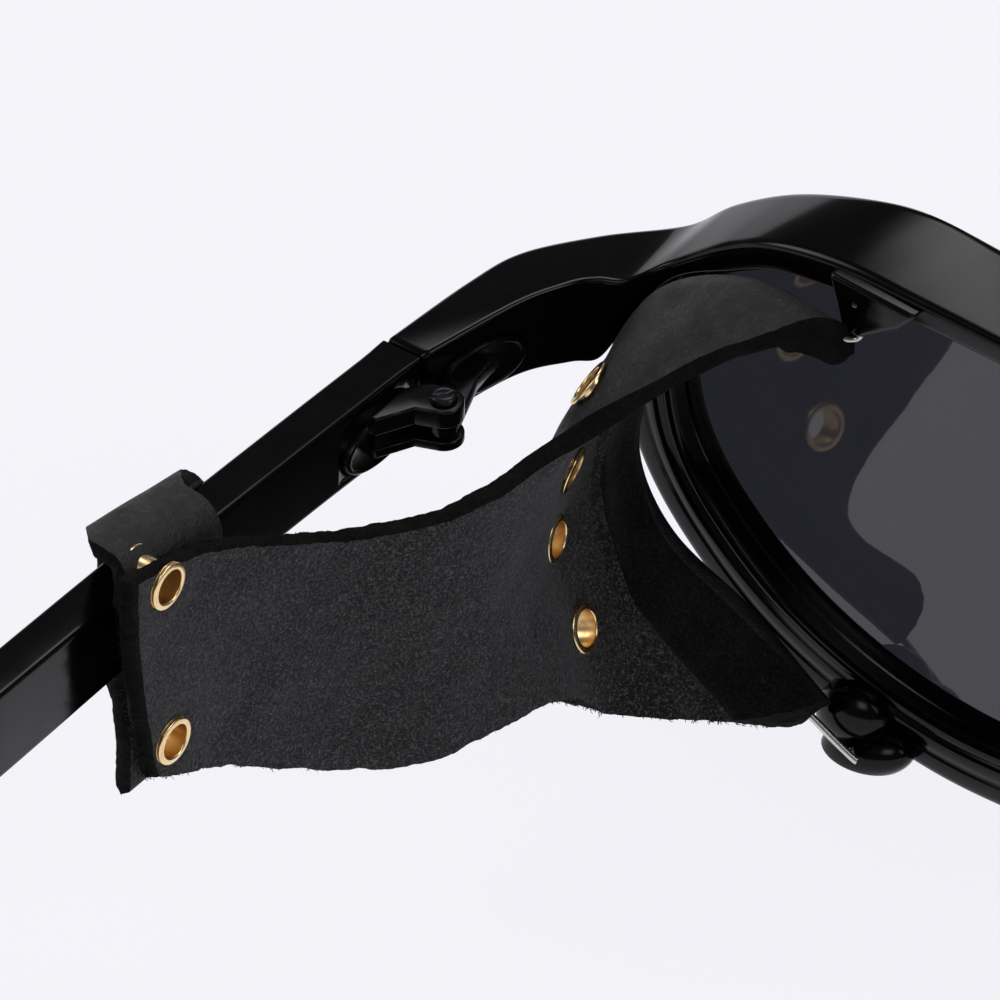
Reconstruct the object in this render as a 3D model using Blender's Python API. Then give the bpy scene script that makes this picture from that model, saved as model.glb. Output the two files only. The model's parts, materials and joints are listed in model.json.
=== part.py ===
"""Steampunk sunglasses with leather side shields.

Metres, +Z up; the wearer looks along +Y and the wearer's right is +X.
"""

import math

import bmesh
import bpy
from mathutils import Matrix, Vector

# Overall sizes
LENS_WIDTH = 0.056
LENS_HEIGHT = 0.0383
HALF_BRIDGE = 0.008
WRAP_DEPTH = 0.0215
TEMPLE_LENGTH = 0.128
TEMPLE_HEIGHT = 0.007
TEMPLE_THICKNESS = 0.0036

# Rim, lens and front
RIM_WIDTH = 0.0047
RIM_FRONT = 0.0028
RIM_BACK = 0.0022
RIM_CHAMFER = 0.0006
RIM_KEPT = 0.0012
REST_CUT = 0.00025
LENS_THICKNESS = 0.002
LENS_LIP = 0.0007
LENS_SET = 0.0009
FIT_GAP = 0.0003
SLIDE_GAP = 0.0002
RUNNING_GAP = 0.00006
BROW_ROUND = 0.0008
PAD_REACH = 0.0024
LUG_HOLE = 0.00046
LUG_RADIUS = 0.0028
LUG_BACK = 0.0064
LUG_FRONT = 0.0012
EAR_FRONT = 0.0035
EAR_BACK = 0.005
EAR_HOLE_FLOOR = 0.0038
LUG_HOLE_FLOOR = 0.0024

# Hinge
AXIS_INSET = 0.0035
AXIS_BACK = 0.0022
KNUCKLE = 0.00155
MIDDLE_KNUCKLE = 0.00125
LOW_KNUCKLE_TALL = 0.0008
MIDDLE_KNUCKLE_TALL = 0.0013
TOP_KNUCKLE_TALL = 0.0017
PLATE_HALF_LONG = 0.0038
PLATE_HALF_TALL = 0.00225
TEMPLE_PLATE_LONG = 0.0044
PLATE_SUNK = 0.0009
PLATE_PROUD = 0.0005
TEMPLE_PLATE_BACK = 0.0056
SHANK = 0.0006
HEAD_RADIUS = 0.00105
HEAD_TALL = 0.0006
SLOT_WIDE = 0.00034
SLOT_DEEP = 0.00036

# Leather
LEATHER = 0.0016
HEM = 0.0032
STRAP = 0.0014
STRAP_WIDE = 0.0112
STRAP_START = 0.048
STRAP_LEAN = 0.0048
CHANNEL = 0.0006
WIRE = 0.0003

# Eyelets
BARREL_HOLE = 0.0012
BARREL = 0.00145
FLANGE = 0.002
FLANGE_THICK = 0.0004
ROLL = 0.0018
ROLL_TALL = 0.0004
WASHER = 0.00195
WASHER_THICK = 0.00045
TRIM_GAP = 0.00012
SEAT_GAP = 0.0002

# How finely round shapes are cut
OUTLINE_STEPS = 3
ROUND = 16
SCREW_ROUND = 24
FAR = 0.3
WELD = 1e-7
SEAM_WELD = 1e-6

LENS_BOTTOM = RIM_WIDTH - REST_CUT

# Share tables: across is in lens widths from the lens's nose edge, back in wrap depths
# behind the lens plane, up in lens heights from the lens's lowest point
LENS_OUTLINE_SHARES = (
    (0.998, 0.530),
    (0.973, 0.381),
    (0.909, 0.248),
    (0.804, 0.120),
    (0.661, 0.033),
    (0.491, 0.000),
    (0.304, 0.042),
    (0.152, 0.172),
    (0.050, 0.373),
    (0.004, 0.608),
    (0.029, 0.817),
    (0.134, 0.958),
    (0.321, 1.000),
    (0.571, 1.000),
    (0.795, 0.966),
    (0.938, 0.843),
    (0.989, 0.687),
)
BRIDGE_OUTLINE_SHARES = (
    (-0.196, 0.791),
    (-0.089, 0.770),
    (-0.045, 0.687),
    (-0.029, 0.569),
    (-0.020, 0.661),
    (0.005, 0.843),
    (0.089, 0.984),
    (0.071, 1.026),
    (-0.196, 1.026),
)
RIDGE_SHARES = (
    (-0.321, 0.186, 1.065),
    (-0.143, 0.163, 1.039),
    (0.036, 0.186, 1.065),
    (0.214, 0.186, 1.086),
    (0.423, 0.186, 1.099),
    (0.582, 0.186, 1.102),
    (0.696, 0.186, 1.099),
    (0.809, 0.186, 1.068),
    (0.889, 0.186, 1.005),
    (0.971, 0.233, 0.911),
    (1.009, 0.326, 0.880),
    (1.039, 0.372, 0.879),
    (1.062, 0.442, 0.877),
    (1.095, 0.628, 0.875),
    (1.143, 1.000, 0.843),
)
BROW_EDGE_SHARES = (
    (-0.321, -0.172, 1.086),
    (-0.143, -0.163, 1.078),
    (0.036, -0.172, 1.086),
    (0.214, -0.186, 1.099),
    (0.393, -0.186, 1.112),
    (0.532, -0.186, 1.123),
    (0.641, -0.163, 1.138),
    (0.734, -0.140, 1.115),
    (0.852, -0.140, 1.042),
    (0.945, -0.116, 0.961),
    (1.020, -0.093, 0.864),
    (1.102, 0.140, 0.864),
    (1.164, 0.381, 0.864),
    (1.188, 0.605, 0.856),
    (1.207, 1.000, 0.843),
)
BROW_FOOT_SHARES = (
    (-0.321, -0.149, 0.990),
    (-0.143, -0.140, 0.948),
    (0.036, -0.149, 0.990),
    (0.214, -0.158, 1.029),
    (0.393, -0.163, 1.039),
    (0.532, -0.163, 1.039),
    (0.641, -0.140, 1.034),
    (0.734, -0.130, 1.021),
    (0.854, -0.130, 0.979),
    (0.952, -0.116, 0.880),
    (1.018, -0.093, 0.726),
    (1.095, 0.116, 0.674),
    (1.164, 0.381, 0.668),
    (1.188, 0.605, 0.666),
    (1.207, 1.000, 0.661),
)
REAR_FOOT_SHARES = (
    (-0.321, 0.167, 0.990),
    (-0.143, 0.140, 0.948),
    (0.036, 0.167, 0.990),
    (0.214, 0.186, 1.029),
    (0.423, 0.186, 1.039),
    (0.582, 0.186, 1.039),
    (0.696, 0.186, 1.029),
    (0.804, 0.186, 1.000),
    (0.879, 0.186, 0.943),
    (0.968, 0.214, 0.864),
    (1.018, 0.316, 0.739),
    (1.036, 0.381, 0.681),
    (1.062, 0.451, 0.679),
    (1.102, 0.633, 0.681),
    (1.143, 1.000, 0.661),
)
EAR_OUTLINE_SHARES = (
    (0.696, 1.089),
    (0.554, 1.078),
    (0.582, 1.026),
    (0.641, 0.983),
    (0.668, 0.980),
)
# Flap columns: across, back, up at the top edge, up at the low edge, how far the low end comes
# forward, how far the middle bulges outwards
FLAP_SHARES = (
    (1.093, 2.860, 1.008, 0.478, 0.121, 0.000),
    (1.093, 2.395, 0.922, 0.368, 0.037, 0.000),
    (1.071, 2.093, 0.843, 0.279, 0.000, 0.000),
    (1.036, 1.786, 0.768, 0.188, 0.000, 0.000),
    (0.980, 1.544, 0.755, 0.164, 0.000, 0.000),
    (0.946, 1.284, 0.755, 0.164, 0.000, 0.014),
    (0.932, 1.000, 0.760, 0.133, 0.000, 0.045),
)
VENT_COLUMN_SHARES = (
    (0.786, 0.651, 0.956),
    (0.882, 0.688, 0.901),
    (0.934, 0.712, 0.786),
    (0.998, 0.698, 0.561),
    (1.029, 0.698, 0.358),
    (0.980, 0.698, 0.162),
    (0.954, 0.688, 0.055),
    (0.934, 0.670, -0.021),
)
SEAM_SHARES = (
    (0.693, 0.428, 0.997),
    (0.793, 0.386, 0.990),
    (0.932, 0.372, 0.851),
    (1.021, 0.372, 0.611),
    (1.039, 0.372, 0.384),
    (0.995, 0.372, 0.191),
    (0.864, 0.372, 0.060),
    (0.709, 0.414, -0.029),
)
HEM_EDGE_SHARES = (
    (0.657, 0.233, 0.930),
    (0.811, 0.279, 0.961),
    (0.934, 0.251, 0.838),
    (1.004, 0.214, 0.601),
    (1.021, 0.209, 0.410),
    (0.959, 0.209, 0.240),
    (0.845, 0.209, 0.120),
    (0.709, 0.237, 0.026),
)
# Temple centre line: run in temple lengths behind the hinge gap, up as above, tall in temple heights
TEMPLE_SHARES = (
    (0.000, 0.752, 1.00),
    (0.110, 0.769, 0.99),
    (0.225, 0.778, 1.03),
    (0.390, 0.773, 1.14),
    (0.570, 0.765, 1.14),
    (0.705, 0.734, 1.09),
    (0.798, 0.621, 1.03),
    (0.876, 0.413, 1.00),
    (0.939, 0.164, 0.98),
    (0.985, -0.034, 0.86),
    (1.000, -0.107, 0.66),
)

# Strap loop, front edge then rear edge: out in temple thicknesses from the temple's inner face,
# forward in strap leans, up in lens heights
STRAP_FRONT_SHARES = (
    (-0.264, 0.000, 0.849),
    (-0.264, 0.000, 0.895),
    (-0.028, 0.050, 0.922),
    (0.550, 0.100, 0.926),
    (1.050, 0.550, 0.903),
    (1.250, 1.000, 0.850),
    (1.250, 1.000, 0.739),
    (1.120, 0.800, 0.645),
    (0.650, 0.550, 0.614),
    (0.083, 0.200, 0.598),
    (-0.264, 0.000, 0.546),
    (-0.264, 0.000, 0.413),
)
STRAP_REAR_SHARES = (
    (-0.264, 0.000, 0.870),
    (-0.264, 0.000, 0.945),
    (-0.028, 0.050, 0.975),
    (0.550, 0.100, 0.980),
    (1.050, 0.550, 0.955),
    (1.250, 1.000, 0.895),
    (1.250, 1.000, 0.739),
    (1.120, 0.800, 0.645),
    (0.650, 0.550, 0.614),
    (0.083, 0.200, 0.598),
    (-0.264, 0.000, 0.546),
    (-0.264, 0.000, 0.413),
)

# Where the eyelets sit: strap eyelets by back and up, vents by row of the vent column
STRAP_EYELET_SHARES = {"upper": (2.651, 0.933), "lower": (2.628, 0.536)}
VENT_ROW = {"a": 2, "b": 3, "c": 4, "d": 5}
VENT_COLUMN = 7
HEM_COLUMN = 8.5
FLAP_ROWS = (0.0, 0.08, 0.2, 0.41, 0.59, 0.77, 0.89, 1.0)
EAR_HOLE_SHARES = (0.659, 1.039)
LUG_HOLE_SHARES = (0.638, -0.037)
HINGE_LEVEL_SHARE = 0.739
PLATE_STATION = 13.4
PLATE_LEVEL_SHARE = 0.755
TEMPLE_PLATE_SHARE = 0.740
PAD_SHARES = (-0.036, 0.163, 0.373)

# How much of its width the rim loses under the brow's outer corner
RIM_SLIM_SHARE = 0.49

FINISHES = {
    "frame": ((0.012, 0.012, 0.014, 1.0), 0.12, 0.0),
    "lens": ((0.03, 0.03, 0.036, 1.0), 0.06, 0.0),
    "steel": ((0.03, 0.03, 0.032, 1.0), 0.3, 0.8),
    "brass": ((0.62, 0.43, 0.2, 1.0), 0.25, 1.0),
    "wire": ((0.6, 0.58, 0.55, 1.0), 0.28, 1.0),
    "leather": ((0.03, 0.028, 0.028, 1.0), 0.85, 0.0),
    "strap": ((0.028, 0.026, 0.026, 1.0), 0.6, 0.0),
}


def spot(across, back, up):
    """Point from shares of the lens and of the wrap."""
    return Vector((HALF_BRIDGE + across * LENS_WIDTH, -back * WRAP_DEPTH, LENS_BOTTOM + up * LENS_HEIGHT))


def spline(points, steps, closed=False):
    """Points along a smooth curve through the given ones, with so many steps between each two."""
    count = len(points)
    spans = count if closed else count - 1
    found = [spline_at(points, i / steps, closed) for i in range(spans * steps)]
    return found if closed else found + [points[-1].copy()]


def spline_at(points, place, closed=False):
    """Point on the smooth curve at this many control points along it."""
    count = len(points)
    start = math.floor(place) if closed else min(max(math.floor(place), 0), count - 2)
    t = place - start
    if closed:
        a, b, c, d = (points[(start + k) % count] for k in (-1, 0, 1, 2))
    else:
        b, c = points[start], points[start + 1]
        a = points[start - 1] if start > 0 else b * 2 - c
        d = points[start + 2] if start + 2 < count else c * 2 - b
    return 0.5 * (2 * b + (c - a) * t + (2 * a - 5 * b + 4 * c - d) * t**2 + (3 * b - a - 3 * c + d) * t**3)


def finish(name, bm, kind, weld=True):
    """Turns the mesh into a named object with its own material."""
    if weld:
        bmesh.ops.remove_doubles(bm, verts=bm.verts, dist=WELD)
        bmesh.ops.recalc_face_normals(bm, faces=bm.faces)
    bmesh.ops.triangulate(bm, faces=bm.faces)
    mesh = bpy.data.meshes.new(name)
    bm.to_mesh(mesh)
    bm.free()
    piece = bpy.data.objects.new(name, mesh)
    bpy.context.scene.collection.objects.link(piece)
    colour, roughness, metallic = FINISHES[kind]
    material = bpy.data.materials.new(name)
    material.use_nodes = True
    shader = material.node_tree.nodes["Principled BSDF"]
    shader.inputs["Base Color"].default_value = colour
    shader.inputs["Roughness"].default_value = roughness
    shader.inputs["Metallic"].default_value = metallic
    mesh.materials.append(material)
    return piece


def tube(bm, rings, closed=False, folded=False):
    """Skins a row of equal rings; folded caps join each ring's two sides instead of filling it."""
    around, along = len(rings[0]), len(rings)
    made = bmesh.ops.create_grid(bm, x_segments=around, y_segments=along - 1 + closed, size=1)["verts"]
    for i, vert in enumerate(made):
        vert.co = rings[(i // (around + 1)) % along][i % (around + 1) % around]
    if folded:
        for first in (0, (along - 1) * (around + 1)):
            ring = made[first:first + around]
            for i in range(around // 2 - 1):
                bmesh.ops.contextual_create(bm, geom=[ring[i], ring[i + 1], ring[-2 - i], ring[-1 - i]])
    elif not closed:
        for first in (0, (along - 1) * (around + 1)):
            bmesh.ops.contextual_create(bm, geom=made[first:first + around])
    bmesh.ops.remove_doubles(bm, verts=made, dist=WELD)


def prism(bm, outline, push):
    """Solid from a flat outline pushed along a vector."""
    verts = [bm.verts.new(point) for point in outline]
    face = bm.faces.new(verts)
    made = bmesh.ops.extrude_face_region(bm, geom=[face])["geom"]
    bmesh.ops.translate(bm, verts=[v for v in made if isinstance(v, bmesh.types.BMVert)], vec=push)


def disc(bm, centre, axis, along, half_long, half_tall, low, high, segments):
    """Round or oval plug on an axis, from low to high along it."""
    out = axis.normalized()
    side = (along - out * along.dot(out)).normalized()
    turn = Matrix((side, out.cross(side), out)).transposed().to_4x4()
    place = Matrix.Translation(centre + out * (low + high) / 2) @ turn
    size = Matrix.Diagonal((half_long, half_tall, high - low, 1))
    bmesh.ops.create_cone(
        bm, cap_ends=True, segments=segments, radius1=1, radius2=1, depth=1, matrix=place @ size
    )


def revolve(bm, profile, centre, axis, segments, closed=True):
    """Solid spun round an axis from an outline of radius and height pairs, open where it ends on the axis."""
    out = axis.normalized()
    side = out.orthogonal().normalized()
    verts = [bm.verts.new(centre + side * radius + out * height) for radius, height in profile]
    edges = [bm.edges.new((verts[i - 1], verts[i])) for i in range(0 if closed else 1, len(verts))]
    bmesh.ops.spin(
        bm, geom=verts + edges, cent=centre, axis=out, angle=math.tau, steps=segments, use_merge=True
    )


def round_bar(bm, points, radius, segments):
    """Round bar along a path."""
    rings = []
    side = None
    for i, point in enumerate(points):
        ahead = (points[min(i + 1, len(points) - 1)] - points[max(i - 1, 0)]).normalized()
        side = ahead.orthogonal() if side is None else side
        side = (side - ahead * side.dot(ahead)).normalized()
        over = ahead.cross(side)
        turns = (math.tau * k / segments for k in range(segments))
        rings.append([point + (side * math.cos(a) + over * math.sin(a)) * radius for a in turns])
    tube(bm, rings)


def boolean(target, operation, fill):
    """Joins to the target, or cuts from it, the solid that fill builds."""
    bm = bmesh.new()
    fill(bm)
    tool = finish(target.name + "_tool", bm, "frame")
    step = target.modifiers.new(operation, "BOOLEAN")
    step.operation = operation
    step.solver = "EXACT"
    step.object = tool
    bpy.context.view_layer.update()
    shaped = bpy.data.meshes.new_from_object(target.evaluated_get(bpy.context.evaluated_depsgraph_get()))
    target.modifiers.clear()
    target.data = shaped
    bpy.data.objects.remove(tool)


def outline_points():
    """Points of the lens opening's edge, in the lens plane."""
    return spline([spot(a, 0, b) for a, b in LENS_OUTLINE_SHARES], OUTLINE_STEPS, closed=True)


def offset_outline(distance, back):
    """The lens opening's edge moved outwards by a distance and back from the lens plane."""
    points = outline_points()
    centre = sum(points, Vector()) / len(points)
    found = []
    for i, point in enumerate(points):
        ahead = points[(i + 1) % len(points)] - points[i - 1]
        away = Vector((ahead.z, 0, -ahead.x)).normalized()
        away = away if away.dot(point - centre) > 0 else -away
        corner = min(3 * max(away.z - 0.2, 0) * max(away.x + 0.25, 0), 1)
        reach = distance - max(distance - RIM_KEPT, 0) * RIM_SLIM_SHARE * corner
        found.append(point + away * reach + Vector((0, -back, 0)))
    return found


def rim_section():
    """Chamfered, grooved section of the rim as distance from the opening and depth behind the lens plane."""
    cut = RIM_CHAMFER
    rear = LENS_THICKNESS / 2 + SLIDE_GAP - LENS_SET
    ahead = -LENS_THICKNESS / 2 - SLIDE_GAP - LENS_SET
    return (
        (cut, -RIM_FRONT),
        (RIM_WIDTH - cut, -RIM_FRONT),
        (RIM_WIDTH, cut - RIM_FRONT),
        (RIM_WIDTH, RIM_BACK - cut),
        (RIM_WIDTH - cut, RIM_BACK),
        (cut, RIM_BACK),
        (0, RIM_BACK - cut),
        (0, rear),
        (LENS_LIP + FIT_GAP, rear),
        (LENS_LIP + FIT_GAP, ahead),
        (0, ahead),
        (0, cut - RIM_FRONT),
    )


def brow_lines():
    """The four long edges of the brow and end piece, from the far side of the nose to the hinge."""
    tables = (RIDGE_SHARES, BROW_EDGE_SHARES, BROW_FOOT_SHARES, REAR_FOOT_SHARES)
    lines = [[spot(*row) for row in table] for table in tables]
    for line in lines:
        line[0].x = -line[2].x
        line[1].x = 0
    return lines


def rounded(corners, cut):
    """Section with each corner cut off at a distance."""
    found = []
    for i, corner in enumerate(corners):
        for other in (corners[i - 1], corners[(i + 1) % len(corners)]):
            found.append(corner + (other - corner).normalized() * cut)
    return found


def hinge_axis():
    """Foot of the fold axis at the height where the middle knuckle starts."""
    butt = spot(*RIDGE_SHARES[-1])
    return Vector((butt.x - AXIS_INSET, butt.y - AXIS_BACK, LENS_BOTTOM + HINGE_LEVEL_SHARE * LENS_HEIGHT))


def front_plate():
    """Centre, direction along and outward direction of the front leaf's oval plate."""
    ridge, _, _, foot = brow_lines()
    here = (spline_at(ridge, PLATE_STATION) + spline_at(foot, PLATE_STATION)) / 2
    after = (ridge[-1] + foot[-1]) / 2
    along = (after - here) * Vector((1, 1, 0))
    along.normalize()
    inward = Vector((along.y, -along.x, 0))
    here.z = LENS_BOTTOM + PLATE_LEVEL_SHARE * LENS_HEIGHT
    return here, along, inward


def temple_plate():
    """Centre of the temple leaf's oval plate on the temple's inner face."""
    face = temple_inner()
    level = LENS_BOTTOM + TEMPLE_PLATE_SHARE * LENS_HEIGHT
    return Vector((face, hinge_axis().y + AXIS_BACK - TEMPLE_PLATE_BACK, level))


def temple_inner():
    """Distance of the temple's inner face from the middle."""
    return spot(*RIDGE_SHARES[-1]).x


def make_front():
    """Right half of the moulded front, then the other half mirrored on."""
    bm = bmesh.new()
    section = rim_section()
    loops = [offset_outline(away, back) for away, back in section]
    rings = [list(ring) for ring in zip(*loops)]
    tube(bm, rings, closed=True)
    front = finish("frame_front", bm, "frame")

    lines = [spline(line, OUTLINE_STEPS) for line in brow_lines()]
    boolean(front, "UNION", lambda b: tube(b, [rounded(corners, BROW_ROUND) for corners in zip(*lines)]))
    bridge = [spot(a, 0, b) for a, b in BRIDGE_OUTLINE_SHARES]
    lift = Vector((0, RIM_FRONT - RIM_CHAMFER, 0))
    push = Vector((0, -RIM_FRONT - RIM_BACK + 2.5 * RIM_CHAMFER, 0))
    boolean(front, "UNION", lambda b: prism(b, [point + lift for point in bridge], push))
    ear = [spot(a, 0, b) + Vector((0, -EAR_FRONT, 0)) for a, b in EAR_OUTLINE_SHARES]
    boolean(front, "UNION", lambda b: prism(b, ear, Vector((0, EAR_FRONT - EAR_BACK, 0))))
    lug = spot(LUG_HOLE_SHARES[0], 0, LUG_HOLE_SHARES[1])
    up = Vector((0, 0, 1))
    right = Vector((1, 0, 0))
    back = Vector((0, -1, 0))
    boolean(front, "UNION", lambda b: disc(
        b, lug, back, right, LUG_RADIUS * 1.25, LUG_RADIUS, LUG_FRONT, LUG_BACK, ROUND
    ))
    pad = spot(*PAD_SHARES)
    size = Matrix.Diagonal((PAD_REACH, PAD_REACH * 1.25, PAD_REACH * 3, 1))
    lean = Matrix.Rotation(math.radians(-14), 4, "Y")
    boolean(front, "UNION", lambda b: bmesh.ops.create_uvsphere(
        b, u_segments=ROUND, v_segments=ROUND // 2, radius=1, matrix=Matrix.Translation(pad) @ lean @ size
    ))

    hole = spot(EAR_HOLE_SHARES[0], 0, EAR_HOLE_SHARES[1])
    boolean(front, "DIFFERENCE", lambda b: disc(
        b, hole, back, right, LUG_HOLE, LUG_HOLE, EAR_HOLE_FLOOR, FAR, ROUND
    ))
    boolean(front, "DIFFERENCE", lambda b: disc(
        b, lug, back, right, LUG_HOLE, LUG_HOLE, LUG_HOLE_FLOOR, FAR, ROUND
    ))
    centre, along, inward = front_plate()
    boolean(front, "DIFFERENCE", lambda b: disc(
        b, centre, inward, along, PLATE_HALF_LONG + FIT_GAP, PLATE_HALF_TALL + FIT_GAP,
        -PLATE_SUNK - FIT_GAP, AXIS_INSET, SCREW_ROUND
    ))

    bm = bmesh.new()
    bm.from_mesh(front.data)
    everything = bm.verts[:] + bm.edges[:] + bm.faces[:]
    cut = bmesh.ops.bisect_plane(bm, geom=everything, plane_co=Vector(), plane_no=up, clear_inner=True)
    bmesh.ops.holes_fill(bm, edges=[e for e in cut["geom_cut"] if isinstance(e, bmesh.types.BMEdge)])
    everything = bm.verts[:] + bm.edges[:] + bm.faces[:]
    bmesh.ops.bisect_plane(bm, geom=everything, plane_co=Vector(), plane_no=right, clear_inner=True)
    bmesh.ops.remove_doubles(bm, verts=bm.verts, dist=SEAM_WELD)
    bm.to_mesh(front.data)
    bm.free()
    both = front.modifiers.new("halves", "MIRROR")
    both.use_mirror_merge = True
    both.merge_threshold = SEAM_WELD * 10
    return front


def make_lens():
    """Flat tinted lens whose edge stands in the rim's groove."""
    bm = bmesh.new()
    prism(bm, offset_outline(LENS_LIP, -LENS_THICKNESS / 2 - LENS_SET), Vector((0, -LENS_THICKNESS, 0)))
    return finish("lens_right", bm, "lens")


def make_temple():
    """Straight temple with a bent, flat-footed tip and a pocket for its hinge leaf."""
    inner = temple_inner()
    start = hinge_axis().y + AXIS_BACK - FIT_GAP
    path = []
    for run, up, tall in TEMPLE_SHARES:
        level = LENS_BOTTOM + up * LENS_HEIGHT
        path.append(Vector((tall * TEMPLE_HEIGHT / 2, start - run * TEMPLE_LENGTH, level)))
    path = spline(path, OUTLINE_STEPS)
    rings = []
    for i, point in enumerate(path):
        ahead = path[min(i + 1, len(path) - 1)] - path[max(i - 1, 0)]
        lift = Vector((0, -ahead.z, ahead.y)).normalized() * -point.x
        if i == 0:
            lift = Vector((0, 0, point.x))
        middle = Vector((inner, point.y, point.z))
        out = Vector((TEMPLE_THICKNESS, 0, 0))
        corners = (middle + lift, middle + out + lift, middle + out - lift, middle - lift)
        rings.append(rounded(corners, RIM_CHAMFER))
    bm = bmesh.new()
    tube(bm, rings)
    everything = bm.verts[:] + bm.edges[:] + bm.faces[:]
    up = Vector((0, 0, 1))
    cut = bmesh.ops.bisect_plane(bm, geom=everything, plane_co=Vector(), plane_no=up, clear_inner=True)
    bmesh.ops.holes_fill(bm, edges=[e for e in cut["geom_cut"] if isinstance(e, bmesh.types.BMEdge)])
    temple = finish("temple_right", bm, "frame")
    along = Vector((0, -1, 0))
    inward = Vector((-1, 0, 0))
    boolean(temple, "DIFFERENCE", lambda b: disc(
        b, temple_plate(), inward, along, TEMPLE_PLATE_LONG + FIT_GAP, PLATE_HALF_TALL + FIT_GAP,
        -PLATE_SUNK - FIT_GAP, AXIS_INSET, SCREW_ROUND
    ))
    return temple


def lever(axis, radius, start, sweep, others):
    """Plan outline of a knuckle and its arm: part of a circle round the axis, then the arm's corners."""
    steps = ROUND // 2 + 1
    found = []
    for i in range(steps):
        turn = math.radians(start + sweep * i / (steps - 1))
        found.append(axis + Vector((math.cos(turn), math.sin(turn), 0)) * radius)
    return found + others


def plan_prism(bm, plan, low, high):
    """Solid over a plan outline between two heights."""
    prism(bm, [Vector((point.x, point.y, low)) for point in plan], Vector((0, 0, high - low)))


def make_front_leaf():
    """Front leaf: middle knuckle, arm and the oval plate sunk in the end piece."""
    axis = hinge_axis()
    centre, along, inward = front_plate()
    up = Vector((0, 0, 1))
    low = axis.z + RUNNING_GAP
    high = axis.z + MIDDLE_KNUCKLE_TALL - RUNNING_GAP
    half = PLATE_HALF_LONG
    arm = [
        centre + along * half * 0.45 + inward * AXIS_INSET * 0.5,
        centre - along * half * 0.3 + inward * PLATE_PROUD,
        centre - along * half * 0.4 - inward * PLATE_SUNK * 0.5,
        centre + along * half * 0.72 - inward * PLATE_SUNK * 0.5,
    ]
    plan = lever(axis, MIDDLE_KNUCKLE, 15, -190, arm)
    bm = bmesh.new()
    plan_prism(bm, plan, low, high)
    leaf = finish("hinge_front_leaf_right", bm, "steel")
    boolean(leaf, "UNION", lambda b: disc(
        b, centre, inward, along, PLATE_HALF_LONG, PLATE_HALF_TALL, -PLATE_SUNK, PLATE_PROUD, SCREW_ROUND
    ))
    bore = SHANK + RUNNING_GAP
    boolean(leaf, "DIFFERENCE", lambda b: disc(
        b, axis, up, Vector((1, 0, 0)), bore, bore, -KNUCKLE, KNUCKLE * 2, SCREW_ROUND
    ))
    return leaf


def make_temple_leaf():
    """Temple leaf: low and top knuckles, their arms, a web and the oval plate sunk in the temple."""
    axis = hinge_axis()
    centre = temple_plate()
    up = Vector((0, 0, 1))
    inward = Vector((-1, 0, 0))
    along = Vector((0, -1, 0))
    low = axis.z - LOW_KNUCKLE_TALL
    middle_top = axis.z + MIDDLE_KNUCKLE_TALL
    high = middle_top + TOP_KNUCKLE_TALL
    proud = AXIS_INSET - PLATE_PROUD * 0.6
    rear = TEMPLE_PLATE_BACK * 0.9
    arm = [
        axis + Vector((proud * 0.5, -rear * 0.5, 0)),
        axis + Vector((proud * 0.8, -rear, 0)),
        axis + Vector((proud, -rear, 0)),
        axis + Vector((proud, -KNUCKLE * 0.5, 0)),
        axis + Vector((proud * 0.7, KNUCKLE * 0.5, 0)),
    ]
    plan = lever(axis, KNUCKLE, 80, 180, arm)
    web = [
        axis + Vector((proud * 0.74, -rear * 0.42, 0)),
        axis + Vector((proud * 0.98, -rear * 0.42, 0)),
        axis + Vector((proud * 0.98, -rear * 0.97, 0)),
        axis + Vector((proud * 0.84, -rear * 0.97, 0)),
    ]
    inset = LOW_KNUCKLE_TALL * 0.2
    bm = bmesh.new()
    plan_prism(bm, web, low + inset, high - inset)
    leaf = finish("hinge_temple_leaf_right", bm, "steel")
    boolean(leaf, "UNION", lambda b: plan_prism(b, plan, low, axis.z))
    boolean(leaf, "UNION", lambda b: plan_prism(b, plan, middle_top, high))
    boolean(leaf, "UNION", lambda b: disc(
        b, centre, inward, along, TEMPLE_PLATE_LONG, PLATE_HALF_TALL, -PLATE_SUNK, PLATE_PROUD, SCREW_ROUND
    ))
    bore = SHANK + RUNNING_GAP
    boolean(leaf, "DIFFERENCE", lambda b: disc(
        b, axis, up, Vector((1, 0, 0)), bore, bore, -FAR, FAR, SCREW_ROUND
    ))
    return leaf


def make_screw():
    """Slotted screw down the fold axis."""
    axis = hinge_axis()
    up = Vector((0, 0, 1))
    seat = MIDDLE_KNUCKLE_TALL + TOP_KNUCKLE_TALL + RUNNING_GAP
    top = seat + HEAD_TALL
    profile = (
        (0, -LOW_KNUCKLE_TALL),
        (SHANK, -LOW_KNUCKLE_TALL),
        (SHANK, seat),
        (HEAD_RADIUS, seat),
        (HEAD_RADIUS, top),
        (0, top),
    )
    bm = bmesh.new()
    revolve(bm, profile, axis, up, SCREW_ROUND, closed=False)
    screw = finish("hinge_screw_right", bm, "steel")
    slot = Matrix.Translation(axis + up * top) @ Matrix.Rotation(math.radians(38), 4, "Z")
    size = Matrix.Diagonal((SLOT_WIDE, HEAD_RADIUS * 3, SLOT_DEEP * 2, 1))
    boolean(screw, "DIFFERENCE", lambda b: bmesh.ops.create_cube(b, size=1, matrix=slot @ size))
    return screw


def shield_columns():
    """Control points of the leather, column by column from the flap's rear end to the hem's front edge."""
    columns = []
    for across, back, top, low, forward, bulge in FLAP_SHARES:
        column = []
        for row in FLAP_ROWS:
            out = across + bulge * math.sin(math.pi * row)
            column.append(spot(out, back - forward * row**2, top + (low - top) * row))
        columns.append(column)
    for table in (VENT_COLUMN_SHARES, SEAM_SHARES, HEM_EDGE_SHARES):
        columns.append([spot(*row) for row in table])
    return columns


def shield_point(columns, column, row):
    """Point of the leather's middle surface."""
    return spline_at([spline_at(line, row) for line in columns], column)


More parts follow.
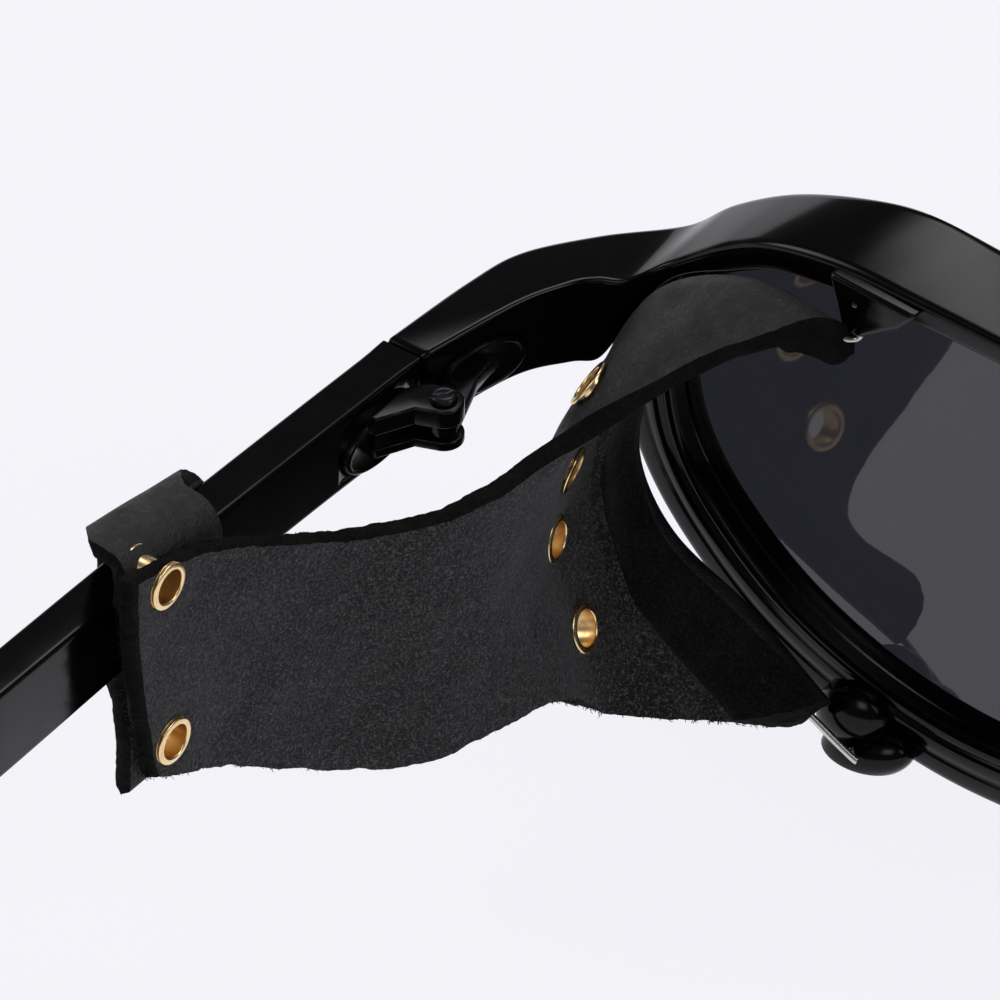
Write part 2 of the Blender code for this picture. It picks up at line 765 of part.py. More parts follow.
def shield_normal(columns, column, row):
    """Direction out of the grain side."""
    small = 0.05
    over = shield_point(columns, column + small, row) - shield_point(columns, column - small, row)
    down = shield_point(columns, column, row + small) - shield_point(columns, column, row - small)
    return down.cross(over).normalized()


def hem_path(columns, extra):
    """Middle of the hem from its upper end to its lower one, run past both ends."""
    path = [shield_point(columns, HEM_COLUMN, row * 0.5) for row in range(15)]
    head = path[0] + (path[0] - path[1]).normalized() * extra
    foot = path[-1] + (path[-1] - path[-2]).normalized() * extra
    return [head] + path + [foot]


def vent_places():
    """Centre and outward direction of each vent eyelet."""
    columns = shield_columns()
    return {
        name: (shield_point(columns, VENT_COLUMN, row), shield_normal(columns, VENT_COLUMN, row))
        for name, row in VENT_ROW.items()
    }


def strap_places():
    """Centre in the flap and outward direction of each strap eyelet."""
    face = spot(FLAP_SHARES[0][0], 0, 0).x
    out = Vector((1, 0, 0))
    return {
        name: (Vector((face, -back * WRAP_DEPTH, LENS_BOTTOM + up * LENS_HEIGHT)), out)
        for name, (back, up) in STRAP_EYELET_SHARES.items()
    }


def make_shield():
    """Leather shield: flap, crease, vented curve and a folded hem with a channel for the wire."""
    columns = shield_columns()
    thin, thick = LEATHER / 2, HEM / 2
    stations = [(i, thin) for i in range(4)]
    stations += [(i * 0.5, thin) for i in range(8, 16)]
    stations += [(8, thin), (8.08, thick * 0.9), (8.3, thick), (8.75, thick), (9, thick * 0.6)]
    rings = []
    for column, half in stations:
        rows = [i * 0.5 for i in range(15)]
        mid = [shield_point(columns, column, row) for row in rows]
        out = [shield_normal(columns, column, row) * half for row in rows]
        grain = [m + o for m, o in zip(mid, out)]
        suede = [m - o for m, o in zip(mid, out)]
        rings.append(grain + suede[::-1])
    bm = bmesh.new()
    tube(bm, rings, folded=True)
    shield = finish("shield_panel_right", bm, "leather")
    boolean(shield, "DIFFERENCE", lambda b: round_bar(b, hem_path(columns, HEM), CHANNEL, 8))
    hole = BARREL + SEAT_GAP
    bed = FLANGE + SEAT_GAP
    pressed = thin - SEAT_GAP / 2
    for centre, out in list(vent_places().values()) + list(strap_places().values()):
        side = out.orthogonal()
        boolean(shield, "DIFFERENCE", lambda b: disc(b, centre, out, side, bed, bed, pressed, HEM * 2, ROUND))
        boolean(shield, "DIFFERENCE", lambda b: disc(
            b, centre, out, side, bed, bed, -HEM * 2, -pressed, ROUND
        ))
        boolean(shield, "DIFFERENCE", lambda b: disc(b, centre, out, side, hole, hole, -HEM, HEM, ROUND))
    return shield


def make_wire():
    """Spring wire through the hem, hooked into the front's upper ear and lower lug."""
    path = hem_path(shield_columns(), 0)[1:-1]
    ear = spot(EAR_HOLE_SHARES[0], 0, EAR_HOLE_SHARES[1])
    lug = spot(LUG_HOLE_SHARES[0], 0, LUG_HOLE_SHARES[1])
    back = Vector((0, -1, 0))
    out = Vector((-1, 0, 0))
    up = Vector((0, 0, 1))
    head = [
        ear + back * (EAR_HOLE_FLOOR + RUNNING_GAP),
        ear + back * (EAR_BACK + HEM * 0.56),
        ear + back * (EAR_BACK + HEM * 0.71) + out * HEM * 0.3 - up * HEM * 0.95,
        path[0] + (path[0] - path[1]).normalized() * HEM * 0.25,
    ]
    foot = [
        lug + back * (LUG_BACK + HEM * 0.63) - out * HEM * 0.3,
        lug + back * (LUG_BACK + HEM * 0.31),
        lug + back * (LUG_HOLE_FLOOR + RUNNING_GAP),
    ]
    bm = bmesh.new()
    round_bar(bm, spline(head, 2) + path + spline(foot, 2), WIRE, 8)
    return finish("hem_wire_right", bm, "wire")


def make_strap():
    """Leather band from the flap over the temple, round it and back to the flap."""
    inner = temple_inner()
    edges = []
    for table, back in ((STRAP_FRONT_SHARES, STRAP_START), (STRAP_REAR_SHARES, STRAP_START + STRAP_WIDE)):
        path = []
        for out, forward, up in table:
            place_back = back - forward * STRAP_LEAN
            path.append(Vector((inner + out * TEMPLE_THICKNESS, -place_back, LENS_BOTTOM + up * LENS_HEIGHT)))
        edges.append(spline(path, 2))
    rings = []
    for i in range(len(edges[0])):
        corners = []
        for edge, sides in zip(edges, ((-1, 1), (1, -1))):
            ahead = edge[min(i + 1, len(edge) - 1)] - edge[max(i - 1, 0)]
            away = Vector((ahead.z, 0, -ahead.x)).normalized() * STRAP / 2
            corners += [edge[i] + away * side for side in sides]
        rings.append(corners)
    bm = bmesh.new()
    tube(bm, rings)
    strap = finish("strap_loop_right", bm, "strap")
    hole = BARREL + SEAT_GAP
    bed = FLANGE + SEAT_GAP
    stack = LEATHER / 2 + FIT_GAP + STRAP
    pressed = stack + SEAT_GAP / 2
    ahead = Vector((0, 1, 0))
    for centre, out in strap_places().values():
        boolean(strap, "DIFFERENCE", lambda b: disc(
            b, centre, out, ahead, bed, bed, pressed, HEM * 1.4, ROUND
        ))
        boolean(strap, "DIFFERENCE", lambda b: disc(b, centre, out, ahead, hole, hole, 0, HEM, ROUND))
    return strap


def make_eyelet(name, centre, out, outer):
    """Eyelet with a flange on the grain side and a rolled end over the washer on the suede side."""
    low = LEATHER / 2 + SEAT_GAP + WASHER_THICK + TRIM_GAP
    high = outer + SEAT_GAP
    profile = (
        (BARREL_HOLE, -low - ROLL_TALL),
        (ROLL, -low - ROLL_TALL),
        (ROLL, -low),
        (BARREL, -low),
        (BARREL, high),
        (FLANGE, high),
        (FLANGE, high + FLANGE_THICK),
        (BARREL_HOLE, high + FLANGE_THICK),
    )
    bm = bmesh.new()
    revolve(bm, profile, centre, out, ROUND)
    return finish(name, bm, "brass")


def make_washer(name, centre, out):
    """Thin washer between the leather and the eyelet's rolled end."""
    low = LEATHER / 2 + SEAT_GAP
    bore = BARREL + TRIM_GAP
    profile = ((bore, -low), (WASHER, -low), (WASHER, -low - WASHER_THICK), (bore, -low - WASHER_THICK))
    bm = bmesh.new()
    revolve(bm, profile, centre, out, ROUND)
    return finish(name, bm, "brass")


def mirrored(piece):
    """Left-hand copy of a right-hand piece, with its own mesh and material."""
    bm = bmesh.new()
    bm.from_mesh(piece.data)
    bmesh.ops.transform(bm, matrix=Matrix.Diagonal((-1, 1, 1, 1)), verts=bm.verts)
    bmesh.ops.reverse_faces(bm, faces=bm.faces)
    name = piece.name.replace("right", "left")
    copy = finish(name, bm, "frame", weld=False)
    copy.data.materials.clear()
    material = piece.data.materials[0].copy()
    material.name = name
    copy.data.materials.append(material)
    return copy


def place(pieces, moving):
    """Centres the object on the origin and hangs each temple's pieces on its fold axis."""
    low, high = FAR, -FAR
    for piece in pieces:
        low = min(low, min(vert.co.y for vert in piece.data.vertices))
        high = max(high, max(vert.co.y for vert in piece.data.vertices))
    shift = Vector((0, -(low + high) / 2, 0))
    for piece in pieces:
        piece.data.transform(Matrix.Translation(shift))
        piece.data.shade_smooth()
        piece.data.set_sharp_from_angle(angle=math.radians(35))
    for side, sign in (("right", 1), ("left", -1)):
        axis = bpy.data.objects.new("fold_axis_" + side, None)
        bpy.context.scene.collection.objects.link(axis)
        foot = hinge_axis()
        axis.location = Vector((sign * foot.x, foot.y + shift.y, foot.z))
        for piece in moving[side]:
            piece.parent = axis
            piece.matrix_parent_inverse = Matrix.Translation(-axis.location)
    print("moved along y", shift.y, "fold axis", hinge_axis() + shift)


def main():
    """Builds the right side, mirrors it and places both."""
    for old in list(bpy.data.objects):
        bpy.data.objects.remove(old)
    front = make_front()
    fixed = [make_lens(), make_front_leaf(), make_shield(), make_wire()]
    moving = [make_temple(), make_temple_leaf(), make_screw(), make_strap()]
    for key, (centre, out) in vent_places().items():
        fixed.append(make_eyelet("vent_eyelet_" + key + "_right", centre, out, LEATHER / 2))
        fixed.append(make_washer("vent_washer_" + key + "_right", centre, out))
    for key, (centre, out) in strap_places().items():
        stack = LEATHER / 2 + FIT_GAP + STRAP
        moving.append(make_eyelet("strap_eyelet_" + key + "_right", centre, out, stack))
        moving.append(make_washer("strap_washer_" + key + "_right", centre, out))
    left_fixed = [mirrored(piece) for piece in fixed]
    left_moving = [mirrored(piece) for piece in moving]
    pieces = [front] + fixed + moving + left_fixed + left_moving
    place(pieces, {"right": moving, "left": left_moving})


main()
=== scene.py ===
"""Sunglasses with leather side shields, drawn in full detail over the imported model.

Every class builds the wearer's right side. The left side is its mirror image.
Lengths in the tables are millimetres: out from the middle, back from the lens plane, and up.
"""

import json
import logging
import math
from dataclasses import dataclass, field
from enum import Enum
from typing import Callable, Iterable, Sequence

import bmesh
import bpy
import numpy as np
from mathutils import Matrix, Vector, noise

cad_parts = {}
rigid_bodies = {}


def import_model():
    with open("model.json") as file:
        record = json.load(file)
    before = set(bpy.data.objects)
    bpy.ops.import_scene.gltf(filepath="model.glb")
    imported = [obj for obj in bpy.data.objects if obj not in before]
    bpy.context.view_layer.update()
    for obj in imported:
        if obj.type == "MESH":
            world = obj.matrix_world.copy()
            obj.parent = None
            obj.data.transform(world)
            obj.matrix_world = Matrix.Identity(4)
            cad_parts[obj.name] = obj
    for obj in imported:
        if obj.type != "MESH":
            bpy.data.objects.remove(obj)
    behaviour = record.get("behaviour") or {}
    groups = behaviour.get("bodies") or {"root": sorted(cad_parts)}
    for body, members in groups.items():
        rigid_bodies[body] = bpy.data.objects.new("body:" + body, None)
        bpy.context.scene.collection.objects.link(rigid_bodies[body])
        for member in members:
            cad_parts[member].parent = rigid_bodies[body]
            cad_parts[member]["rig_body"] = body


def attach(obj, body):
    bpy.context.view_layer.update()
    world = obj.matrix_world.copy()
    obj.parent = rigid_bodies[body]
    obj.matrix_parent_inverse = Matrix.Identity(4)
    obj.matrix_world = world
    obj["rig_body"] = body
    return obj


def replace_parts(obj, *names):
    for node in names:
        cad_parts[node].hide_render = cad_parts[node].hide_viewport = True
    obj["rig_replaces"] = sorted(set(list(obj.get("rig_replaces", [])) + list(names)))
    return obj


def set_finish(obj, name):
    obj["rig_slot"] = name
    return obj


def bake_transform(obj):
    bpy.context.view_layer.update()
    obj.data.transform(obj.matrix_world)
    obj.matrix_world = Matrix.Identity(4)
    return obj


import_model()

LOG = logging.getLogger("sunglasses")
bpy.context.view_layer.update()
MM = 0.001
SHIFT = Vector((0.0, 0.0739128, -0.00025))
UP = Vector((0.0, 0.0, 1.0))
RIGHT = Vector((1.0, 0.0, 0.0))
BACK = Vector((0.0, -1.0, 0.0))
WELD = 1e-7
LENS_LOW, LENS_TALL = 4.7, 38.3
TEMPLE_INNER, TEMPLE_THICK = 72.008, 3.6
TEMPLE_PLATE = (TEMPLE_INNER, 27.1, 33.05)
STRAP_RISE = 1.62
EDGE_STEPS = 5
Row = tuple[float, float, float]
Pair = tuple[float, float]


class Side(Enum):
    """The wearer's two sides and the sign of X on each."""

    RIGHT = 1
    LEFT = -1

    @property
    def label(self) -> str:
        """Name used at the end of node and piece names."""
        return self.name.lower()


def spot(out: float, back: float, up: float) -> Vector:
    """Point in metres from millimetres out, back and up."""
    return Vector((out * MM, -back * MM, up * MM)) + SHIFT


def curve_at(points: Sequence[Vector], place: float, closed: bool = False) -> Vector:
    """Point on a smooth curve through the given points.

    Args:
        points: the points that the curve passes through.
        place: how many points along the curve to go.
        closed: whether the last point joins the first.

    Returns:
        The point there.
    """
    count = len(points)
    start = math.floor(place) if closed else min(max(math.floor(place), 0), count - 2)
    t = place - start
    if closed:
        a, b, c, d = (points[(start + k) % count] for k in (-1, 0, 1, 2))
    else:
        b, c = points[start], points[start + 1]
        a = points[start - 1] if start > 0 else b * 2 - c
        d = points[start + 2] if start + 2 < count else c * 2 - b
    return 0.5 * (2 * b + (c - a) * t + (2 * a - 5 * b + 4 * c - d) * t**2 + (3 * b - a - 3 * c + d) * t**3)


def curve(points: Sequence[Vector], steps: int, closed: bool = False) -> list[Vector]:
    """Points along the smooth curve, so many for each span, the last one included when it is open."""
    spans = len(points) if closed else len(points) - 1
    found = [curve_at(points, i / steps, closed) for i in range(spans * steps)]
    return found if closed else found + [points[-1].copy()]


def soft_step(low: float, high: float, value: float) -> float:
    """Smooth rise from 0 at low to 1 at high."""
    t = min(max((value - low) / (high - low), 0.0), 1.0)
    return t * t * (3 - 2 * t)


def round_corners(corners: Sequence[Vector], radii: Sequence[float], steps: int) -> list[Vector]:
    """Section with each corner rounded.

    Args:
        corners: the section's corners in order.
        radii: how far from each corner its rounding starts.
        steps: points made for each corner, less one.

    Returns:
        The rounded section's points.
    """
    found = []
    for i, corner in enumerate(corners):
        before, after = corners[i - 1], corners[(i + 1) % len(corners)]
        start = corner + (before - corner).normalized() * min(radii[i], (before - corner).length * 0.45)
        end = corner + (after - corner).normalized() * min(radii[i], (after - corner).length * 0.45)
        for k in range(steps + 1):
            t = k / steps
            found.append(start * (1 - t) ** 2 + corner * 2 * t * (1 - t) + end * t**2)
    return found


class Shaper:
    """A bmesh with the few moves that every piece is shaped by."""

    def __init__(self) -> None:
        """Starts empty."""
        self.bm = bmesh.new()

    def skin(self, rings: Sequence[Sequence[Vector]], closed: bool = False, caps: bool = True) -> None:
        """Wraps a grid round a row of equal rings.

        Args:
            rings: rings of points, all of one length.
            closed: whether the last ring joins the first.
            caps: whether open ends are filled.
        """
        around, along = len(rings[0]), len(rings)
        made = bmesh.ops.create_grid(
            self.bm, x_segments=around, y_segments=along - 1 + closed, size=1
        )["verts"]
        for i, vert in enumerate(made):
            vert.co = rings[(i // (around + 1)) % along][i % (around + 1) % around]
        if caps and not closed:
            for first in (0, (along - 1) * (around + 1)):
                bmesh.ops.contextual_create(self.bm, geom=made[first : first + around])

    def spin(self, profile: Sequence[Pair], centre: Vector, axis: Vector, segments: int) -> None:
        """Spins a closed outline round an axis.

        Args:
            profile: radius and height of each corner, in metres.
            centre: a point on the axis, at height 0.
            axis: the axis's direction.
            segments: steps in the full turn.
        """
        out = axis.normalized()
        side = out.orthogonal().normalized()
        verts = [self.bm.verts.new(centre + side * radius + out * height) for radius, height in profile]
        edges = [self.bm.edges.new((verts[i - 1], verts[i])) for i in range(len(verts))]
        bmesh.ops.spin(
            self.bm, geom=verts + edges, cent=centre, axis=out, angle=math.tau, steps=segments, use_merge=True
        )

    def push(self, outline: Sequence[Vector], along: Vector) -> None:
        """Extrudes a flat outline along a vector and closes it.

        Args:
            outline: the outline's corners in order.
            along: how far and which way it is extruded.
        """
        verts = [self.bm.verts.new(point) for point in outline]
        face = self.bm.faces.new(verts)
        made = bmesh.ops.extrude_face_region(self.bm, geom=[face])["geom"]
        bmesh.ops.translate(self.bm, verts=[v for v in made if isinstance(v, bmesh.types.BMVert)], vec=along)
        self.close(WELD)

    def ball(self, middle: Row, size: Row, lean: float, segments: int, rings: int) -> None:
        """Adds a ball stretched to an oval and tilted sideways.

        Args:
            middle: out, back and up of its middle, in millimetres.
            size: its half lengths along X, Y and Z, in millimetres.
            lean: tilt about Y, in degrees.
            segments: faces round it.
            rings: faces from pole to pole.
        """
        turn = Matrix.Rotation(math.radians(lean), 4, "Y")
        place = Matrix.Translation(spot(*middle)) @ turn @ Matrix.Diagonal((*(s * MM for s in size), 1))
        bmesh.ops.create_uvsphere(self.bm, u_segments=segments, v_segments=rings, radius=1, matrix=place)

    def soften(self, edges: Sequence[bmesh.types.BMEdge], offset: float, segments: int) -> None:
        """Rounds edges off.

        Args:
            edges: the edges.
            offset: how far the rounding reaches, in metres.
            segments: faces across the rounding.
        """
        bmesh.ops.bevel(
            self.bm, geom=edges, offset=offset, segments=segments, affect="EDGES", profile=0.5, material=-1
        )

    def bar(self, points: Sequence[Vector], radii: Sequence[float], segments: int) -> None:
        """Sweeps a round section along a path.

        Args:
            points: the path.
            radii: the section's radius at each point.
            segments: corners of the section.
        """
        rings, side = [], None
        for i, point in enumerate(points):
            ahead = (points[min(i + 1, len(points) - 1)] - points[max(i - 1, 0)]).normalized()
            side = ahead.orthogonal() if side is None else side
            side = (side - ahead * side.dot(ahead)).normalized()
            over = ahead.cross(side)
            turns = [math.tau * k / segments for k in range(segments)]
            rings.append([point + (side * math.cos(a) + over * math.sin(a)) * radii[i] for a in turns])
        self.skin(rings)

    def keep_right(self) -> None:
        """Cuts at the middle plane and mirrors the right half over it."""
        everything = self.bm.verts[:] + self.bm.edges[:] + self.bm.faces[:]
        bmesh.ops.bisect_plane(self.bm, geom=everything, plane_co=Vector(), plane_no=RIGHT, clear_inner=True)
        everything = self.bm.verts[:] + self.bm.edges[:] + self.bm.faces[:]
        bmesh.ops.mirror(self.bm, geom=everything, matrix=Matrix(), merge_dist=1e-5, axis="X")

    def cut_below(self, height: float) -> None:
        """Cuts everything under a height away and closes the cut."""
        everything = self.bm.verts[:] + self.bm.edges[:] + self.bm.faces[:]
        cut = bmesh.ops.bisect_plane(
            self.bm, geom=everything, plane_co=UP * height, plane_no=UP, clear_inner=True
        )
        bmesh.ops.holes_fill(self.bm, edges=[e for e in cut["geom_cut"] if isinstance(e, bmesh.types.BMEdge)])

    def close(self, distance: float = 1e-6) -> None:
        """Merges doubles and turns every face outwards."""
        bmesh.ops.remove_doubles(self.bm, verts=self.bm.verts, dist=distance)
        bmesh.ops.recalc_face_normals(self.bm, faces=self.bm.faces)

    def take(self, part: "Shaper") -> None:
        """Adds another shaper's mesh to this one and frees it.

        Args:
            part: the other shaper.
        """
        part.close(WELD)
        mesh = bpy.data.meshes.new("part")
        part.bm.to_mesh(mesh)
        part.bm.free()
        self.bm.from_mesh(mesh)
        bpy.data.meshes.remove(mesh)

    def piece(self, name: str, materials: Sequence[bpy.types.Material], sharp: float = 38.0) -> bpy.types.Object:
        """Turns the mesh into an object.

        Args:
            name: the object's name.
            materials: its material slots in order.
            sharp: edges that turn more than this many degrees are drawn sharp.

        Returns:
            The new object.
        """
        mesh = bpy.data.meshes.new(name)
        self.bm.to_mesh(mesh)
        self.bm.free()
        for material in materials:
            mesh.materials.append(material)
        mesh.shade_smooth()
        mesh.set_sharp_from_angle(angle=math.radians(sharp))
        made = bpy.data.objects.new(name, mesh)
        bpy.context.scene.collection.objects.link(made)
        return made


def cut(target: bpy.types.Object, fill: Callable[[Shaper], None], operation: str = "DIFFERENCE") -> None:
    """Cuts a solid from a piece, or joins it on, and keeps the result as plain mesh.

    Args:
        target: the piece to change.
        fill: builds the solid in the shaper it is given.
        operation: the Boolean modifier's operation.
    """
    shaper = Shaper()
    fill(shaper)
    shaper.close(WELD)
    tool = shaper.piece("cut_tool", [])
    step = target.modifiers.new("cut", "BOOLEAN")
    step.operation = operation
    step.solver = "EXACT"
    step.object = tool
    bpy.context.view_layer.update()
    shaped = bpy.data.meshes.new_from_object(target.evaluated_get(bpy.context.evaluated_depsgraph_get()))
    target.modifiers.clear()
    target.data = shaped
    bpy.data.objects.remove(tool)


def plug(centre: Vector, axis: Vector, along: Vector, size: Pair, span: Pair) -> Callable[[Shaper], None]:
    """Round or oval cutter on an axis.

    Args:
        centre: a point on the axis.
        axis: the axis's direction.
        along: the direction of the oval's length.
        size: half its length and half its height, in millimetres.
        span: where it starts and ends along the axis, in millimetres from the centre.

    Returns:
        A function that builds the cutter in a shaper.
    """
    long, tall, low, high = (value * MM for value in (*size, *span))

    def fill(shaper: Shaper) -> None:
        """Builds the cutter.

        Args:
            shaper: takes the cutter.
        """
        out = axis.normalized()
        side = (along - out * along.dot(out)).normalized()
        turn = Matrix((side, out.cross(side), out)).transposed().to_4x4()
        place = Matrix.Translation(centre + out * (low + high) / 2) @ turn
        place = place @ Matrix.Diagonal((long, tall, high - low, 1))
        bmesh.ops.create_cone(shaper.bm, cap_ends=True, segments=64, radius1=1, radius2=1, depth=1, matrix=place)

    return fill


def flip(piece: bpy.types.Object) -> None:
    """Mirrors a piece over the middle plane, its faces kept pointing outwards.

    Args:
        piece: the piece to change.
    """
    bm = bmesh.new()
    bm.from_mesh(piece.data)
    bmesh.ops.transform(bm, matrix=Matrix.Diagonal((-1, 1, 1, 1)), verts=bm.verts)
    bmesh.ops.reverse_faces(bm, faces=bm.faces)
    bm.to_mesh(piece.data)
    bm.free()


def mirrored(piece: bpy.types.Object, name: str) -> bpy.types.Object:
    """Left-hand copy of a right-hand piece.

    Args:
        piece: the right-hand piece.
        name: the copy's name.

    Returns:
        The copy.
    """
    mesh = piece.data.copy()
    mesh.name = name
    made = bpy.data.objects.new(name, mesh)
    bpy.context.scene.collection.objects.link(made)
    flip(made)
    return made


class Wiring:
    """Short calls for laying out shader nodes in one tree."""

    def __init__(self, tree: bpy.types.NodeTree) -> None:
        """Keeps the tree that nodes are added to."""
        self.tree = tree

    def node(self, kind: str, **settings: object) -> bpy.types.Node:
        """Adds a node and sets the named properties of it."""
        made = self.tree.nodes.new(kind)
        for key, value in settings.items():
            setattr(made, key, value)
        return made

    def join(self, start: object, end: object) -> None:
        """Links an output to an input."""
        self.tree.links.new(start, end)

    def feed(self, node: bpy.types.Node, place: object, value: object) -> None:
        """Gives an input a number, a colour or another node's output."""
        if isinstance(value, bpy.types.NodeSocket):
            self.join(value, node.inputs[place])
        else:
            node.inputs[place].default_value = value

    def feed_all(self, node: bpy.types.Node, values: dict) -> bpy.types.Node:
        """Feeds several inputs of a node, by name or place, and gives the node back."""
        for place, value in values.items():
            self.feed(node, place, value)
        return node

    def maths(self, operation: str, *values: object) -> object:
        """Output of a maths node."""
        made = self.node("ShaderNodeMath", operation=operation)
        return self.feed_all(made, dict(enumerate(values))).outputs[0]

    def between(self, value: object, low: float, high: float, to_low: float = 0.0, to_high: float = 1.0) -> object:
        """Value mapped smoothly from one range to another."""
        made = self.node("ShaderNodeMapRange", interpolation_type="SMOOTHSTEP")
        return self.feed_all(made, dict(enumerate((value, low, high, to_low, to_high)))).outputs[0]

    def blend(self, amount: object, first: object, second: object) -> object:
        """Colour mixed from two."""
        made = self.node("ShaderNodeMix", data_type="RGBA")
        return self.feed_all(made, {0: amount, 6: first, 7: second}).outputs[2]

    def cloud(self, where: object, scale: float, detail: float = 2.0, rough: float = 0.5) -> object:
        """Noise with features about one over scale metres across."""
        values = {"Vector": where, "Scale": scale, "Detail": detail, "Roughness": rough}
        return self.feed_all(self.node("ShaderNodeTexNoise"), values).outputs["Fac"]

    def cells(self, where: object, scale: float, feature: str = "F1") -> object:
        """Voronoi cells about one over scale metres across."""
        made = self.node("ShaderNodeTexVoronoi", feature=feature)
        return self.feed_all(made, {"Vector": where, "Scale": scale}).outputs["Distance"]

    def warped(self, where: object, scale: float, reach: float, detail: float = 2.0) -> object:
        """Coordinates pushed about by noise.

        Args:
            where: the coordinates.
            scale: the noise's scale.
            reach: how far it pushes, in metres.
            detail: the noise's detail.

        Returns:
            The pushed coordinates.
        """
        values = {"Vector": where, "Scale": scale, "Detail": detail}
        warp = self.feed_all(self.node("ShaderNodeTexNoise"), values)
        spread = self.node("ShaderNodeVectorMath", operation="MULTIPLY_ADD")
        return self.feed_all(spread, {0: warp.outputs["Color"], 1: (reach,) * 3, 2: where}).outputs[0]

    def stretched(self, where: object, turn: Row, scale: Row) -> object:
        """Coordinates turned and scaled unevenly."""
        made = self.node("ShaderNodeMapping")
        return self.feed_all(made, {"Vector": where, "Rotation": turn, "Scale": scale}).outputs[0]


def shade(colour: Sequence[float], share: float, lift: float = 0.0) -> tuple[float, ...]:
    """Colour made darker or paler."""
    return tuple(min(c * share + lift, 1) for c in colour[:3]) + (1.0,)


class Effect:
    """Shader node groups shared by the finishes, each built the first time it is asked for."""

    @staticmethod
    def group(name: str, lay: Callable[[Wiring, object], dict]) -> bpy.types.NodeTree:
        """Finds or makes a node group that works on Object coordinates times its Size.

        Args:
            name: the group's name.
            lay: lays its nodes out from those coordinates, and gives its outputs by name.

        Returns:
            The node group.
        """
        if name in bpy.data.node_groups:
            return bpy.data.node_groups[name]
        tree = bpy.data.node_groups.new(name, "ShaderNodeTree")
        size = tree.interface.new_socket("Size", in_out="INPUT", socket_type="NodeSocketFloat")
        size.default_value = 1.0
        w = Wiring(tree)
        sized = w.node("ShaderNodeVectorMath", operation="SCALE")
        w.join(w.node("ShaderNodeTexCoord").outputs["Object"], sized.inputs[0])
        w.join(w.node("NodeGroupInput").outputs["Size"], sized.inputs["Scale"])
        outer = w.node("NodeGroupOutput")
        for label, value in lay(w, sized.outputs[0]).items():
            tree.interface.new_socket(label, in_out="OUTPUT", socket_type="NodeSocketFloat")
            w.join(value, outer.inputs[label])
        return tree

    @staticmethod
    def fuzz(w: Wiring, where: object) -> dict:
        """Napped suede: a height of short fibres, pale fibre ends and broad patches.

        Args:
            w: the group's wiring.
            where: the coordinates.

        Returns:
            The outputs by name.
        """
        near = w.warped(where, 900.0, 0.0012)
        fine = w.cloud(near, 3800.0, 6.0, 0.72)
        clumps = w.cells(near, 2100.0)
        height = w.maths("ADD", w.maths("MULTIPLY", fine, 0.7), w.maths("MULTIPLY", clumps, 0.35))
        coarse = w.maths("MULTIPLY", w.cloud(where, 950.0, 4.0, 0.6), 0.5)
        return {
            "Height": w.maths("ADD", height, coarse),
            "Specks": w.between(w.cloud(near, 4400.0, 3.0, 0.9), 0.5, 0.62),
            "Patches": w.between(w.cloud(where, 210.0, 5.0, 0.62), 0.36, 0.66),
        }

    @staticmethod
    def grain(w: Wiring, where: object) -> dict:
        """Leather grain: pebbled height with longer wrinkles, the creases between them, and scuffs.

        Args:
            w: the group's wiring.
            where: the coordinates.

        Returns:
            The outputs by name.
        """
        near = w.warped(where, 420.0, 0.002, 4.0)
        pebbles = w.between(w.cells(near, 1500.0, "DISTANCE_TO_EDGE"), 0.0, 0.16)
        small = w.between(w.cells(near, 3600.0, "DISTANCE_TO_EDGE"), 0.0, 0.2)
        long = w.stretched(near, (0.4, 0.5, 0.7), (1.0, 1.0, 0.22))
        wrinkles = w.between(w.cloud(long, 620.0, 6.0, 0.66), 0.4, 0.62)
        mixed = w.maths("ADD", w.maths("MULTIPLY", pebbles, 0.45), w.maths("MULTIPLY", small, 0.25))
        return {
            "Height": w.maths("ADD", mixed, w.maths("MULTIPLY", wrinkles, 0.6)),
            "Creases": w.maths("SUBTRACT", 1.0, w.maths("MULTIPLY", pebbles, wrinkles)),
            "Scuffs": w.between(w.cloud(where, 330.0, 7.0, 0.7), 0.5, 0.68),
        }

    @staticmethod
    def handling(w: Wiring, where: object) -> dict:
        """Handled gloss: faint smears, a slow swell as a height, and hairline marks.

        Args:
            w: the group's wiring.
            where: the coordinates.

        Returns:
            The outputs by name.
        """
        streaks = w.stretched(where, (0.3, 0.2, 0.9), (1.0, 0.05, 1.0))
        return {
            "Smears": w.between(w.cloud(where, 160.0, 6.0, 0.65), 0.45, 0.75),
            "Swell": w.cloud(where, 130.0, 1.0, 0.4),
            "Hairlines": w.between(w.cloud(streaks, 5200.0, 2.0, 0.5), 0.66, 0.74),
        }


